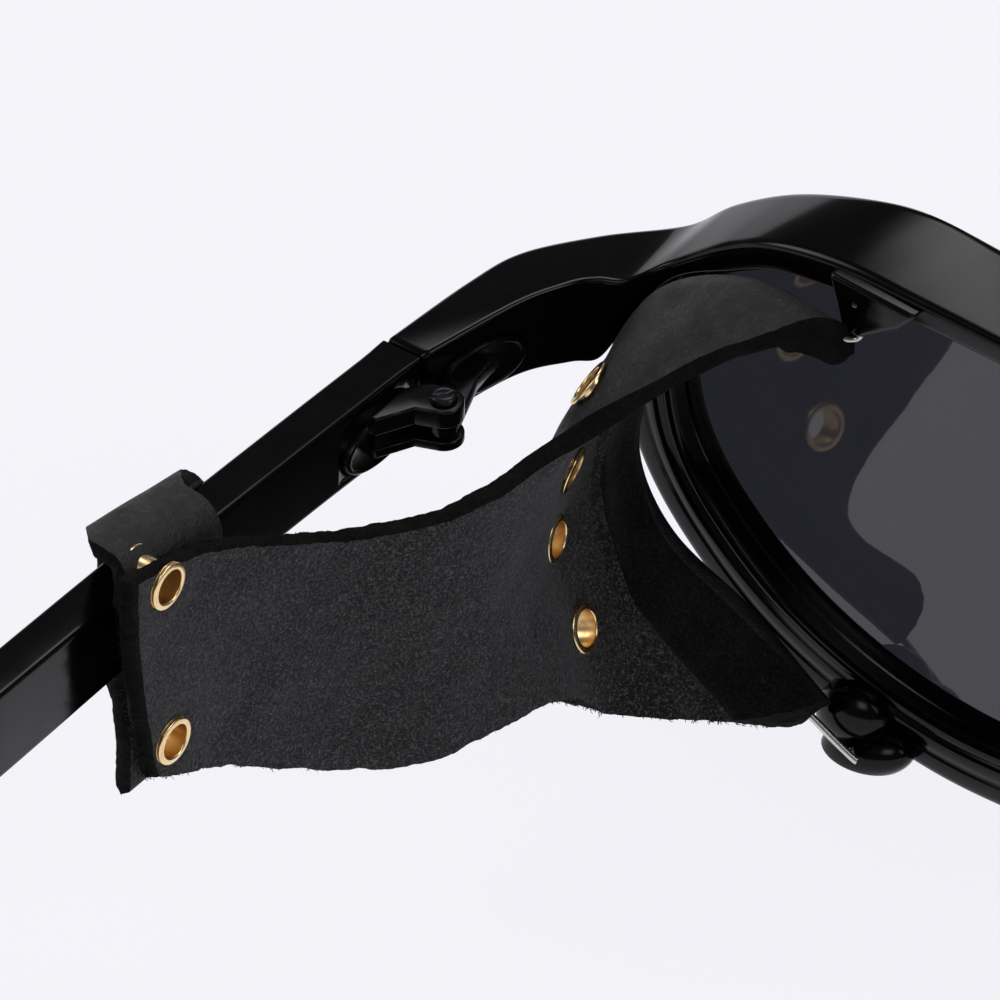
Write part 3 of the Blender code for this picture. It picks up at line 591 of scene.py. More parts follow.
@dataclass(frozen=True)
class Finish:
    """One material: its name, its main colour and how it is laid out."""

    name: str
    colour: tuple[float, float, float, float]
    roughness: float = 0.5
    metallic: float = 0.0

    def start(self) -> tuple[bpy.types.Material, Wiring, bpy.types.Node]:
        """New material with a Principled shader that has this finish's plain values."""
        material = bpy.data.materials.new(self.name)
        material.use_nodes = True
        w = Wiring(material.node_tree)
        shader = material.node_tree.nodes["Principled BSDF"]
        plain = {"Base Color": self.colour, "Roughness": self.roughness, "Metallic": self.metallic}
        return material, w, w.feed_all(shader, plain)

    def effect(self, w: Wiring, name: str, lay: Callable, size: float = 1.0) -> object:
        """Places a shared effect and gives its outputs by name."""
        made = w.node("ShaderNodeGroup", node_tree=Effect.group(name, lay))
        made.inputs["Size"].default_value = size
        return made.outputs

    def bump(self, w: Wiring, shader: bpy.types.Node, height: object, strength: float, depth: float) -> None:
        """Feeds a height to the shader's normal."""
        bump = w.feed_all(w.node("ShaderNodeBump"), {"Strength": strength, "Distance": depth, "Height": height})
        w.join(bump.outputs[0], shader.inputs["Normal"])

    def make(self) -> bpy.types.Material:
        """The finished material; each kind of finish lays out its own nodes."""
        return self.start()[0]


@dataclass(frozen=True)
class GlossMoulding(Finish):
    """Polished black plastic with faint smears and a slow swell in its reflections."""

    def make(self) -> bpy.types.Material:
        """Polished plastic."""
        material, w, shader = self.start()
        marks = self.effect(w, "handled gloss", Effect.handling)
        rough = w.maths("MULTIPLY_ADD", marks["Smears"], 0.05, self.roughness)
        w.feed_all(shader, {
            "Base Color": w.blend(marks["Smears"], self.colour, shade(self.colour, 1.6, 0.0008)),
            "Roughness": w.maths("MULTIPLY_ADD", marks["Hairlines"], 0.04, rough),
            "Specular IOR Level": 0.2,
        })
        self.bump(w, shader, marks["Swell"], 0.25, 0.0004)
        return material


@dataclass(frozen=True)
class Suede(Finish):
    """Napped flesh side of the leather, with painted shade in the low parts of its nap."""

    nap: float = 0.6

    def make(self) -> bpy.types.Material:
        """Napped leather."""
        material, w, shader = self.start()
        nap = self.effect(w, "suede nap", Effect.fuzz)
        tone = w.blend(nap["Patches"], shade(self.colour, 0.45), self.colour)
        # The low parts of the nap are painted darker: painted shade in its hollows.
        shaded_pits = w.blend(w.between(nap["Height"], 0.62, 1.0), shade(self.colour, 0.35), tone)
        w.feed_all(shader, {
            "Base Color": w.blend(w.maths("MULTIPLY", nap["Specks"], 0.75), shaded_pits, shade(self.colour, 5.0)),
            "Roughness": w.between(nap["Patches"], 0.0, 1.0, 1.0, 0.88),
            "Sheen Weight": 0.35,
            "Sheen Roughness": 0.45,
            "Sheen Tint": (0.5, 0.5, 0.54, 1.0),
            "Specular IOR Level": 0.2,
        })
        self.bump(w, shader, nap["Height"], self.nap, 0.00022)
        return material


@dataclass(frozen=True)
class GrainLeather(Finish):
    """Smooth side of the leather with its pebbles, wrinkles and scuffs, and painted shade in the creases between
    them.
    """

    def make(self) -> bpy.types.Material:
        """Grained leather."""
        material, w, shader = self.start()
        grain = self.effect(w, "leather grain", Effect.grain)
        tone = w.blend(w.maths("MULTIPLY", grain["Scuffs"], 0.6), self.colour, shade(self.colour, 2.4, 0.008))
        rough = w.maths("MULTIPLY_ADD", grain["Scuffs"], 0.18, self.roughness)
        # The creases between pebbles and wrinkles are painted darker: painted shade.
        w.feed_all(shader, {
            "Base Color": w.blend(w.maths("MULTIPLY", grain["Creases"], 0.7), tone, shade(self.colour, 0.3)),
            "Roughness": w.maths("MULTIPLY_ADD", grain["Creases"], 0.15, rough),
        })
        self.bump(w, shader, grain["Height"], 0.55, 0.00016)
        return material


@dataclass(frozen=True)
class CutEdge(Finish):
    """Fibrous cut edge of the leather, with painted shade in the low parts of its fibres."""

    def make(self) -> bpy.types.Material:
        """Ragged leather edge."""
        material, w, shader = self.start()
        nap = self.effect(w, "suede nap", Effect.fuzz, 1.3)
        dark = shade(self.colour, 0.3)
        # The low parts of the fibres are painted darker: painted shade in their hollows.
        tone = w.blend(w.between(nap["Height"], 0.6, 1.05), dark, self.colour)
        w.feed_all(shader, {
            "Base Color": w.blend(nap["Patches"], tone, dark),
            "Roughness": w.between(nap["Specks"], 0.0, 1.0, 1.0, 0.8),
            "Specular IOR Level": 0.15,
        })
        self.bump(w, shader, nap["Height"], 0.9, 0.0003)
        return material


@dataclass(frozen=True)
class Metal(Finish):
    """Bare or painted metal with fine scratches and a little tarnish."""

    tarnish: tuple[float, float, float, float] = (0.1, 0.05, 0.01, 1.0)
    tarnish_amount: float = 0.3

    def make(self) -> bpy.types.Material:
        """Worn metal."""
        material, w, shader = self.start()
        marks = self.effect(w, "handled gloss", Effect.handling, 3.0)
        amount = w.maths("MULTIPLY", marks["Smears"], self.tarnish_amount)
        rough = w.maths("MULTIPLY_ADD", marks["Smears"], 0.12, self.roughness)
        w.feed_all(shader, {
            "Base Color": w.blend(amount, self.colour, self.tarnish),
            "Roughness": w.maths("MULTIPLY_ADD", marks["Hairlines"], 0.15, rough),
        })
        self.bump(w, shader, marks["Hairlines"], 0.15, 0.00003)
        return material


@dataclass(frozen=True)
class TintedGlass(Finish):
    """Very dark polished lens that lets a little light through."""

    def make(self) -> bpy.types.Material:
        """Tinted lens."""
        material, w, shader = self.start()
        marks = self.effect(w, "handled gloss", Effect.handling, 0.5)
        w.feed_all(shader, {
            "Base Color": w.blend(marks["Smears"], self.colour, shade(self.colour, 0.9)),
            "Roughness": w.maths("MULTIPLY_ADD", marks["Smears"], 0.02, self.roughness),
            "Transmission Weight": 0.9,
            "IOR": 1.5,
        })
        return material


class Rack:
    """Every material of the object, made once."""

    FINISHES: dict[str, Finish] = {
        "moulding": GlossMoulding("gloss black moulding", (0.0012, 0.0012, 0.0014, 1.0), 0.13),
        "suede": Suede("suede side", (0.03, 0.0293, 0.0302, 1.0), 0.95),
        "grain": GrainLeather("grain side", (0.0055, 0.0053, 0.0057, 1.0), 0.5),
        # Much darker copy of the suede for the hem's suede side: painted shade.
        "fold": Suede("folded hem side", (0.0045, 0.0043, 0.0044, 1.0), 0.95),
        "edge": CutEdge("cut leather edge", (0.011, 0.0085, 0.0075, 1.0), 0.95),
        "fibre": CutEdge("leather fibre", (0.02, 0.017, 0.016, 1.0), 0.9),
        "brass": Metal("bright brass", (0.93, 0.71, 0.38, 1.0), 0.22, 1.0, (0.45, 0.24, 0.06, 1.0), 0.45),
        # Darker copy of the bright brass, its heavier and darker tarnish included: painted shade inside the eyelet
        # barrels.
        "bore": Metal("brass barrel inside", (0.86, 0.6, 0.28, 1.0), 0.3, 1.0, (0.16, 0.06, 0.01, 1.0), 0.7),
        "wire": Metal("spring wire", (0.62, 0.6, 0.57, 1.0), 0.22, 1.0, (0.3, 0.28, 0.25, 1.0), 0.4),
        "hinge": Metal(
            "black hinge metal", (0.016, 0.016, 0.018, 1.0), 0.2, 0.85, (0.004, 0.004, 0.004, 1.0), 0.5
        ),
        "screw": Metal(
            "black screw metal", (0.022, 0.022, 0.025, 1.0), 0.26, 0.9, (0.005, 0.005, 0.005, 1.0), 0.5
        ),
        "lens": TintedGlass("tinted lens", (0.024, 0.025, 0.031, 1.0), 0.03),
    }
    made: dict[str, bpy.types.Material] = {}

    @classmethod
    def get(cls, *names: str) -> list[bpy.types.Material]:
        """Materials by name, each made the first time."""
        for name in names:
            if name not in cls.made:
                cls.made[name] = cls.FINISHES[name].make()
        return [cls.made[name] for name in names]


@dataclass
class LensShape:
    """Outline of the lens opening, shared by the rim and the lens."""

    outline: tuple[Pair, ...] = (
        (63.9, 25), (62.5, 19.3), (58.9, 14.2), (53.0, 9.3), (45.0, 5.95), (35.5, 4.7), (25, 6.3), (16.5, 11.3),
        (10.8, 19), (8.2, 28), (9.6, 36), (15.5, 41.4), (26, 43), (40, 43), (52.5, 41.7), (60.5, 37), (63.4, 31),
    )
    steps: int = 16
    kept: float = 1.2
    slim: float = 0.49

    def moved(self, distances: Sequence[float], backs: Sequence[float]) -> list[list[Vector]]:
        """Copies of the outline moved outwards and back.

        Args:
            distances: how far outwards each copy goes, in millimetres.
            backs: how far behind the lens plane each copy lies, in millimetres.

        Returns:
            One list of points for each copy.
        """
        points = curve([spot(out, 0, up) for out, up in self.outline], self.steps, closed=True)
        middle = sum(points, Vector()) / len(points)
        aways = []
        for i, point in enumerate(points):
            ahead = points[(i + 1) % len(points)] - points[i - 1]
            away = Vector((ahead.z, 0, -ahead.x)).normalized()
            aways.append(away if away.dot(point - middle) > 0 else -away)
        found = []
        for distance, back in zip(distances, backs):
            ring = []
            for point, away in zip(points, aways):
                corner = min(3 * max(away.z - 0.2, 0) * max(away.x + 0.25, 0), 1)
                reach = distance - max(distance - self.kept, 0) * self.slim * corner
                ring.append(point + away * reach * MM + BACK * back * MM)
            found.append(ring)
        return found


@dataclass
class Front:
    """Moulded front: grooved rims, brow running into the end pieces, bridge, nose pads, ears and lugs."""

    lens: LensShape = field(default_factory=LensShape)
    rim: tuple[Pair, ...] = (
        (0.35, -2.8), (0.9, -3), (2.4, -3.1), (3.7, -2.95), (4.3, -2.6), (4.62, -2), (4.7, -1), (4.7, 0.9),
        (4.68, 1.6), (4.56, 1.95), (4.3, 2.16), (3.9, 2.22), (3.3, 2.22), (2.95, 2.18), (2.8, 2.02), (2.6, 1.98),
        (2.42, 2.04), (2.34, 2.2), (2.1, 2.26), (1.5, 2.26), (1.26, 2.2), (1.12, 1.92), (0.98, 1.78),
        (0.84, 1.86), (0.7, 2.02), (0.5, 2.05), (0.18, 1.95), (0.02, 1.7), (0, 1.2), (0, 0.3), (1, 0.3),
        (1, -2.1), (0, -2.1), (0, -2.4), (0.12, -2.68),
    )
    ridge: tuple[Row, ...] = (
        (-10, 4, 45.5), (0, 3.5, 44.5), (10, 4, 45.5), (20, 4, 46.3), (31.7, 4, 46.8), (40.6, 4, 46.9),
        (47, 4, 46.8), (53.3, 4, 45.6), (57.8, 4, 43.2), (62.4, 5, 39.6), (64.5, 7, 38.4), (66.2, 8, 38.35),
        (67.5, 9.5, 38.3), (69.3, 13.5, 38.2), (72, 21.5, 37),
    )
    brow: tuple[Row, ...] = (
        (-10, -3.7, 46.3), (0, -3.5, 46), (10, -3.7, 46.3), (20, -4, 46.8), (30, -4, 47.4), (37.8, -4, 48.1),
        (43.9, -3.5, 48.8), (49.1, -3, 47.9), (55.7, -3, 45.1), (60.9, -2.5, 41.8), (65.1, -2, 37.9),
        (69.7, 3, 37.8), (73.2, 8.2, 37.8), (74.5, 13, 37.5), (75.6, 21.5, 37),
    )
    brow_foot: tuple[Row, ...] = (
        (-10, -3.2, 42.6), (0, -3, 41), (10, -3.2, 42.6), (20, -3.4, 44.1), (30, -3.5, 44.5), (37.8, -3.5, 44.5),
        (43.9, -3, 44.3), (49.1, -2.8, 43.8), (55.8, -2.8, 42.2), (61.3, -2.5, 38.4), (65, -2, 32.5),
        (69.3, 2.5, 30.5), (73.2, 8.2, 30.3), (74.5, 13, 30.2), (75.6, 21.5, 30),
    )
    rear_foot: tuple[Row, ...] = (
        (-10, 3.6, 42.6), (0, 3, 41), (10, 3.6, 42.6), (20, 4, 44.1), (31.7, 4, 44.5), (40.6, 4, 44.5),
        (47, 4, 44.1), (53, 4, 43), (57.2, 4, 40.8), (62.2, 4.6, 37.8), (65, 6.8, 33), (66, 8.2, 30.8),
        (67.5, 9.7, 30.7), (69.7, 13.6, 30.8), (72, 21.5, 30),
    )
    bridge: tuple[Pair, ...] = (
        (-3, 35), (3, 34.2), (5.5, 31), (6.4, 26.5), (6.9, 30), (8.3, 37), (13, 42.4), (12, 44), (-3, 44),
    )
    ear: tuple[Pair, ...] = ((47.2, 46.6), (39.2, 46.2), (40.8, 44.2), (44.2, 41.7), (45.9, 41.6))
    ear_hole: Pair = (44.9, 44.5)
    lug_hole: Pair = (44.6, 1.7)
    lug_lobes: tuple[tuple[Row, Row], ...] = (
        ((44.6, 3, 0.6), (4.3, 2.6, 2.05)),
        ((46.2, 2.6, 2.9), (3.3, 2.2, 2.7)),
    )
    pad: Row = (5.98, 3.5, 18.99)
    pad_size: Row = (2.4, 3, 7.2)

    def brow_rings(self) -> list[list[Vector]]:
        """Rounded sections of the brow and end piece, from the middle to the hinge."""
        lines = []
        for table in (self.ridge, self.brow, self.brow_foot, self.rear_foot):
            controls = [spot(*row) for row in table]
            controls[0].x, controls[1].x = -controls[2].x, 0.0
            lines.append(curve(controls, 12))
        rings = []
        last = len(lines[0]) - 1
        for i, corners in enumerate(zip(*lines)):
            along = i / last
            soft = 1.0 + 0.1 * soft_step(0.2, 0.5, along) - 0.45 * soft_step(0.6, 0.8, along)
            radii = [r * soft * MM for r in (0.75, 1.1, 0.8, 0.6)]
            rings.append(round_corners(corners, radii, 5))
        closing = rings[-1]
        middle = sum(closing, Vector()) / len(closing)
        rings[-1] = [p + (middle - p).normalized() * 0.18 * MM for p in closing]
        rings.insert(-1, [p + (q - p) * 0.55 for p, q in zip(rings[-2], closing)])
        return rings

    def plate(self) -> tuple[Vector, Vector, Vector]:
        """Centre, direction along and inward direction of the front hinge plate."""
        lines = [[spot(*row) for row in table] for table in (self.ridge, self.rear_foot)]
        here = sum((curve_at(line, 13.4) for line in lines), Vector()) / 2
        along = (sum((line[-1] for line in lines), Vector()) / 2 - here) * Vector((1, 1, 0))
        along.normalize()
        here.z = spot(0, 0, 33.617).z
        return here, along, Vector((along.y, -along.x, 0))

    def build(self) -> bpy.types.Object:
        """Makes the whole front as one piece."""
        brow = Shaper()
        brow.skin(self.brow_rings())
        brow.close()
        arm = brow.piece("brow_half", [])
        centre, along, inward = self.plate()
        cut(arm, plug(centre, inward, along, (4.1, 2.55), (-1.2, 3.5)))
        whole = Shaper()
        whole.bm.from_mesh(arm.data)
        bpy.data.objects.remove(arm)
        distances, backs = zip(*self.rim)
        whole.skin([list(ring) for ring in zip(*self.lens.moved(distances, backs))], closed=True)
        self.add_bridge(whole)
        self.add_ear(whole)
        self.add_lug(whole)
        self.add_pad(whole)
        whole.close(WELD)
        whole.cut_below(0.0)
        whole.keep_right()
        made = whole.piece("front_moulding", Rack.get("moulding"), 32)
        dress(made, "frame_front", "front", "gloss_black")
        return made

    def add_bridge(self, whole: Shaper) -> None:
        """Web between the rims, its front and back edges rounded.

        Args:
            whole: the front's shaper.
        """
        part = Shaper()
        part.push([spot(out, -2.2, up) for out, up in self.bridge], BACK * 3.5 * MM)
        rims = [e for e in part.bm.edges if abs(e.verts[0].co.y - e.verts[1].co.y) < 1e-6]
        part.soften(rims, 0.5 * MM, 4)
        whole.take(part)

    def add_ear(self, whole: Shaper) -> None:
        """Three-cornered ear under the brow with its wire hole.

        Args:
            whole: the front's shaper.
        """
        part = Shaper()
        part.push([spot(out, 2.6, up) for out, up in self.ear], BACK * 2.4 * MM)
        part.soften(part.bm.edges[:], 0.45 * MM, 5)
        self.drill(part, self.ear_hole, 0.55, (4.5, 9), whole)

    def add_lug(self, whole: Shaper) -> None:
        """Rounded lug with its wire hole, and the root that joins it to the rim's foot.

        Args:
            whole: the front's shaper.
        """
        for middle, size in self.lug_lobes:
            part = Shaper()
            part.ball(middle, size, 20, 64, 40)
            part.close(WELD)
            self.drill(part, self.lug_hole, 0.42, (2.4, 9), whole)

    def add_pad(self, whole: Shaper) -> None:
        """Moulded nose pad.

        Args:
            whole: the front's shaper.
        """
        part = Shaper()
        part.ball(self.pad, self.pad_size, -14, 48, 32)
        whole.take(part)

    @staticmethod
    def drill(part: Shaper, hole: Pair, radius: float, span: Pair, whole: Shaper) -> None:
        """Drills a wire hole in a part and adds the part to the front.

        Args:
            part: the part's shaper.
            hole: out and up of the hole's middle, in millimetres.
            radius: the hole's radius, in millimetres.
            span: where the hole starts and ends, in millimetres back.
            whole: the front's shaper.
        """
        made = part.piece("part", [])
        cut(made, plug(spot(hole[0], 0, hole[1]), BACK, RIGHT, (radius, radius), span))
        whole.bm.from_mesh(made.data)
        bpy.data.objects.remove(made)


@dataclass
class Lens:
    """Flat tinted lens with softened edges, trapped in the rim."""

    shape: LensShape = field(default_factory=LensShape)
    lip: float = 0.7
    thick: float = 2.0
    set_forward: float = 0.9
    soft: float = 0.25

    def build(self) -> bpy.types.Object:
        """Makes the right lens."""
        half, lip = self.thick / 2, self.lip
        shaper = Shaper()
        soft = self.soft
        backs = [depth - self.set_forward for depth in (-half, soft - half, half - soft, half)]
        rings = self.shape.moved((lip - soft, lip, lip, lip - soft), backs)
        shaper.skin(rings)
        shaper.close()
        made = shaper.piece("lens_glass_right", Rack.get("lens"), 20)
        dress(made, "lens_right", "front", "tinted_lens")
        return made


def dress(piece: bpy.types.Object, node: str, body: str, slot: str) -> None:
    """Says which CAD node a piece stands for, what it rides on and its material slot."""
    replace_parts(piece, node)
    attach(piece, body)
    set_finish(piece, slot)


def pressed(points: Sequence[Vector], low: float, high: float, soft: float, shaper: Shaper) -> None:
    """Solid over a plan outline between two heights, its top and bottom edges rounded.

    Args:
        points: the outline; only its X and Y count.
        low: the bottom's height, in metres.
        high: the top's height, in metres.
        soft: how far the rounding reaches, in metres.
        shaper: takes the solid.
    """
    part = Shaper()
    part.push([Vector((point.x, point.y, low)) for point in points], UP * (high - low))
    part.soften([e for e in part.bm.edges if abs(e.verts[0].co.z - e.verts[1].co.z) < WELD], soft, 3)
    shaper.take(part)


@dataclass
class Hinge:
    """Barrel hinge: a front leaf with the middle knuckle, a temple leaf with two, and the screw through them."""

    axis: Row = (68.508, 23.7, 33.05)
    knuckle: float = 1.55
    middle: float = 1.25
    low_tall: float = 0.8
    middle_tall: float = 1.3
    top_tall: float = 1.7
    gap: float = 0.04
    soft: float = 0.13
    plate_long: float = 3.8
    temple_plate_long: float = 4.4
    plate_tall: float = 2.25
    plate_proud: float = 0.5
    head: float = 1.05
    head_tall: float = 0.6

    def place(self) -> Vector:
        """Point on the fold axis at the foot of the middle knuckle."""
        return spot(*self.axis)

    def plate(self, shaper: Shaper, centre: Vector, inward: Vector, along: Vector, long: float) -> None:
        """Oval plate with a raised rim, sunk in its pocket.

        Args:
            shaper: takes the plate.
            centre: the middle of its pocket's mouth.
            inward: the direction that it faces.
            along: the direction of its length.
            long: half its length, in millimetres.
        """
        side = along.normalized()
        turn = Matrix((side, inward.cross(side), inward)).transposed().to_4x4()
        place = Matrix.Translation(centre) @ turn
        part = Shaper()
        tall, proud = self.plate_tall / long, self.plate_proud
        steps = (
            (0.0, -0.9), (long, -0.9), (long, proud - 0.24), (long - 0.08, proud - 0.07), (long - 0.26, proud),
            (long - 0.42, proud), (long - 0.56, proud - 0.09), (long - 0.72, proud - 0.13), (0.0, proud - 0.13),
        )
        part.spin([(r * MM, h * MM) for r, h in steps], Vector(), UP, 72)
        bmesh.ops.transform(part.bm, matrix=place @ Matrix.Diagonal((1, tall, 1, 1)), verts=part.bm.verts)
        shaper.take(part)

    def arc(self, radius: float, start: float, sweep: float) -> list[Vector]:
        """Points round the fold axis."""
        turns = [math.radians(start + sweep * i / 28) for i in range(29)]
        return [self.place() + Vector((math.cos(a), math.sin(a), 0)) * radius * MM for a in turns]

    def front_leaf(self, centre: Vector, along: Vector, inward: Vector) -> bpy.types.Object:
        """Middle knuckle, arm and plate of the front.

        Args:
            centre: the plate's centre.
            along: the direction of its length.
            inward: the direction that it faces.

        Returns:
            The new object.
        """
        half = self.plate_long * MM
        arm = [
            centre + along * half * 0.45 + inward * 1.75 * MM,
            centre - along * half * 0.02 + inward * 0.9 * MM,
            centre - along * half * 0.3 + inward * 0.5 * MM,
            centre - along * half * 0.4 - inward * 0.45 * MM,
            centre + along * half * 0.72 - inward * 0.45 * MM,
        ]
        shaper = Shaper()
        low = self.place().z + self.gap * MM
        high = self.place().z + (self.middle_tall - self.gap) * MM
        pressed(self.arc(self.middle, 15, -190) + arm, low, high, self.soft * MM, shaper)
        self.plate(shaper, centre, inward, along, self.plate_long)
        return shaper.piece("hinge_leaf_front_right", Rack.get("hinge"), 30)

    def temple_leaf(self) -> bpy.types.Object:
        """Low and top knuckles with their arms, and the plate sunk in the temple."""
        axis, shaper = self.place(), Shaper()
        arm = [(1.1, -2.1), (1.7, -3.3), (2.55, -4.9), (3.2, -5.04), (3.2, -0.78), (2.7, 0.2), (1.7, 1.1)]
        plan = self.arc(self.knuckle, 70, 185) + [axis + Vector((x * MM, y * MM, 0)) for x, y in arm]
        middle_top = axis.z + self.middle_tall * MM
        pressed(plan, axis.z - self.low_tall * MM, axis.z, self.soft * MM, shaper)
        pressed(plan, middle_top, middle_top + self.top_tall * MM, self.soft * 1.6 * MM, shaper)
        foot = ((2.37, -2.1), (3.14, -2.1), (3.14, -4.9), (2.7, -4.9))
        web = [axis + Vector((x * MM, y * MM, 0)) for x, y in foot]
        pressed(web, axis.z - 0.6 * MM, middle_top + 1.5 * MM, 0.05 * MM, shaper)
        self.plate(shaper, spot(*TEMPLE_PLATE), -RIGHT, BACK, self.temple_plate_long)
        return shaper.piece("hinge_leaf_temple_right", Rack.get("hinge"), 30)

    def screw(self) -> bpy.types.Object:
        """Slotted screw with a domed head and a riveted foot."""
        seat = self.middle_tall + self.top_tall + 0.02
        top, foot = seat + self.head_tall, -self.low_tall - 0.02
        head = self.head
        profile = (
            (0.0, foot - 0.1), (0.7, foot - 0.1), (0.86, foot - 0.04), (0.86, foot + 0.02), (0.5, foot + 0.04),
            (0.5, seat - 0.05), (head - 0.1, seat - 0.04), (head, seat + 0.08), (head, top - 0.26),
            (head - 0.05, top - 0.15), (head - 0.16, top - 0.06), (head - 0.32, top), (0.0, top + 0.03),
        )
        shaper = Shaper()
        shaper.spin([(r * MM, h * MM) for r, h in profile], self.place(), UP, 64)
        shaper.close(WELD)
        made = shaper.piece("screw_right", Rack.get("screw"), 30)
        slot = Matrix.Translation(self.place() + UP * top * MM) @ Matrix.Rotation(math.radians(38), 4, "Z")
        size = Matrix.Diagonal((0.34 * MM, head * 3 * MM, 0.72 * MM, 1))
        cut(made, lambda tool: bmesh.ops.create_cube(tool.bm, size=1, matrix=slot @ size))
        return made

    def build(self, centre: Vector, along: Vector, inward: Vector) -> list[bpy.types.Object]:
        """Makes the right hinge.

        Args:
            centre: the front plate's centre.
            along: the direction of its length.
            inward: the direction that it faces.

        Returns:
            Both leaves and the screw.
        """
        front, temple, screw = self.front_leaf(centre, along, inward), self.temple_leaf(), self.screw()
        dress(front, "hinge_front_leaf_right", "front", "black_metal")
        dress(temple, "hinge_temple_leaf_right", "temple_right", "black_metal")
        dress(screw, "hinge_screw_right", "temple_right", "black_metal")
        return [front, temple, screw]


@dataclass
class Temple:
    """Temple arm with a softened section, a turned-down tip and the hinge pocket."""

    inner: float = TEMPLE_INNER
    thick: float = TEMPLE_THICK
    start: float = 21.8
    length: float = 128.0
    tall: float = 7.0
    runs: tuple[Row, ...] = (
        (0, 0.752, 1), (0.11, 0.769, 0.99), (0.225, 0.778, 1.03), (0.39, 0.773, 1.14), (0.57, 0.765, 1.14),
        (0.705, 0.734, 1.09), (0.798, 0.621, 1.03), (0.876, 0.413, 1), (0.939, 0.164, 0.98), (0.985, -0.034, 0.86),
        (1, -0.107, 0.66),
    )

    def build(self) -> bpy.types.Object:
        """Makes the right temple."""
        points = []
        for run, up, tall in self.runs:
            here = spot(0, self.start + run * self.length, LENS_LOW + up * LENS_TALL)
            points.append(Vector((tall * self.tall / 2 * MM, here.y, here.z)))
        path = curve(points, 14)
        rings = []
        for i, point in enumerate(path):
            ahead = path[min(i + 1, len(path) - 1)] - path[max(i - 1, 0)]
            lift = Vector((0, -ahead.z, ahead.y)).normalized() * -point.x if i else UP * point.x
            middle = Vector((self.inner * MM, point.y, point.z))
            out = RIGHT * self.thick * MM
            corners = (middle + lift, middle + out + lift, middle + out - lift, middle - lift)
            end = soft_step(0.0, 0.02, i / (len(path) - 1)) * soft_step(0.0, 0.03, 1 - i / (len(path) - 1))
            radii = [r * (0.5 + 0.5 * end) * MM for r in (0.45, 0.5, 0.7, 0.5)]
            rings.append(round_corners(corners, radii, 6))
        rings.insert(1, [p.lerp(q, 0.12) for p, q in zip(rings[0], rings[1])])
        for place, share in ((0, 0.16), (-1, 0.9)):
            middle = sum(rings[place], Vector()) / len(rings[place])
            rings[place] = [p + (middle - p).normalized() * share * MM for p in rings[place]]
        shaper = Shaper()
        shaper.skin(rings)
        shaper.close()
        shaper.cut_below(0.0)
        shaper.close()
        made = shaper.piece("temple_arm_right", Rack.get("moulding"), 40)
        cut(made, plug(spot(*TEMPLE_PLATE), -RIGHT, BACK, (4.6, 2.45), (-1.1, 3.5)))
        dress(made, "temple_right", "temple_right", "gloss_black")
        return made


@dataclass
class Eyelet:
    """Brass eyelet with a flange on the grain side and a rolled end over a washer on the suede side."""

    section: tuple[Row, ...] = (
        (1.38, 1.0, 0.14), (2.0, 0.96, 0.12), (2.0, 0.74, 0.06), (1.44, 0.74, 0.02), (1.44, -0.72, 0.02),
        (1.86, -0.74, 0.1), (1.96, -1.0, 0.2), (1.38, -1.12, 0.24),
    )
    washer_section: tuple[Row, ...] = (
        (1.5, -0.66, 0.02), (1.9, -0.62, 0.03), (1.9, -0.7, 0.03), (1.5, -0.72, 0.02),
    )
    bore: float = 1.4

    def ring(
        self, name: str, section: tuple[Row, ...], centre: Vector, out: Vector, rise: float
    ) -> bpy.types.Object:
        """One ring spun round the hole's axis.

        Args:
            name: the piece's name.
            section: radius, height and corner rounding of each corner, in millimetres.
            centre: the middle of the leather at the hole.
            out: direction out of the grain side.
            rise: how much higher the grain-side end sits, in millimetres.

        Returns:
            The new object.
        """
        corners = [Vector((r, 0, h + (rise if h > 0 else 0))) * MM for r, h, _ in section]
        rounded = round_corners(corners, [soft * MM for _, _, soft in section], 6)
        shaper = Shaper()
        shaper.spin([(point.x, point.z) for point in rounded], centre, out, 56)
        shaper.close(WELD)
        # Faces inside the barrel take the darker brass copy: painted shade inside the hole.
        for face in shaper.bm.faces:
            middle = face.calc_center_median() - centre
            height = middle.dot(out)
            inside = (middle - out * height).length < self.bore * MM and -1.0 * MM < height < (0.9 + rise) * MM
            face.material_index = int(inside and face.normal.dot(middle - out * height) < 0)
        return shaper.piece(name, Rack.get("brass", "bore"), 50)

    def build(self, label: str, body: str, centre: Vector, out: Vector, rise: float) -> list[bpy.types.Object]:
        """Makes an eyelet and its washer.

        Args:
            label: its kind and name, joined by an underscore.
            body: the body that both ride on.
            centre: the middle of the leather at the hole.
            out: direction out of the grain side.
            rise: how much higher the grain-side end sits, in millimetres.

        Returns:
            The eyelet and the washer.
        """
        kind, name = label.split("_")
        eyelet = self.ring(f"{kind}_grommet_{name}_right", self.section, centre, out, rise)
        washer = self.ring(f"{kind}_backing_ring_{name}_right", self.washer_section, centre, out, 0.0)
        dress(eyelet, f"{kind}_eyelet_{name}_right", body, "eyelet_brass")
        dress(washer, f"{kind}_washer_{name}_right", body, "eyelet_brass")
        return [eyelet, washer]


def cut_edge(
    first: Vector, last: Vector, beyond: Vector, seat: Vector, swell: float, rough: float
) -> list[Vector]:
    """Points across a cut edge from one face of the leather to the other.

    Args:
        first: the face's edge point that it starts from.
        last: the other face's.
        beyond: direction out of the edge.
        seat: where the noise is read.
        swell: how far the edge swells out, in millimetres.
        rough: how far noise moves it, in millimetres.

    Returns:
        The points between the two faces.
    """
    found = []
    for k in range(1, EDGE_STEPS):
        bulge = swell * math.sin(math.pi * k / EDGE_STEPS) + rough * noise.noise(seat * 2600 + UP * k)
        found.append(first.lerp(last, k / EDGE_STEPS) + beyond * bulge * MM)
    return found


def leather_slot(place: int, rows: int) -> int:
    """Material slot of a face by its place round a leather ring.

    Args:
        place: how many points round the ring the face starts.
        rows: points across each side of the leather.

    Returns:
        0 for grain, 1 for suede, 2 for a cut edge.
    """
    if place < rows - 1:
        return 0
    return 1 if rows + EDGE_STEPS - 1 <= place < 2 * rows + EDGE_STEPS - 2 else 2


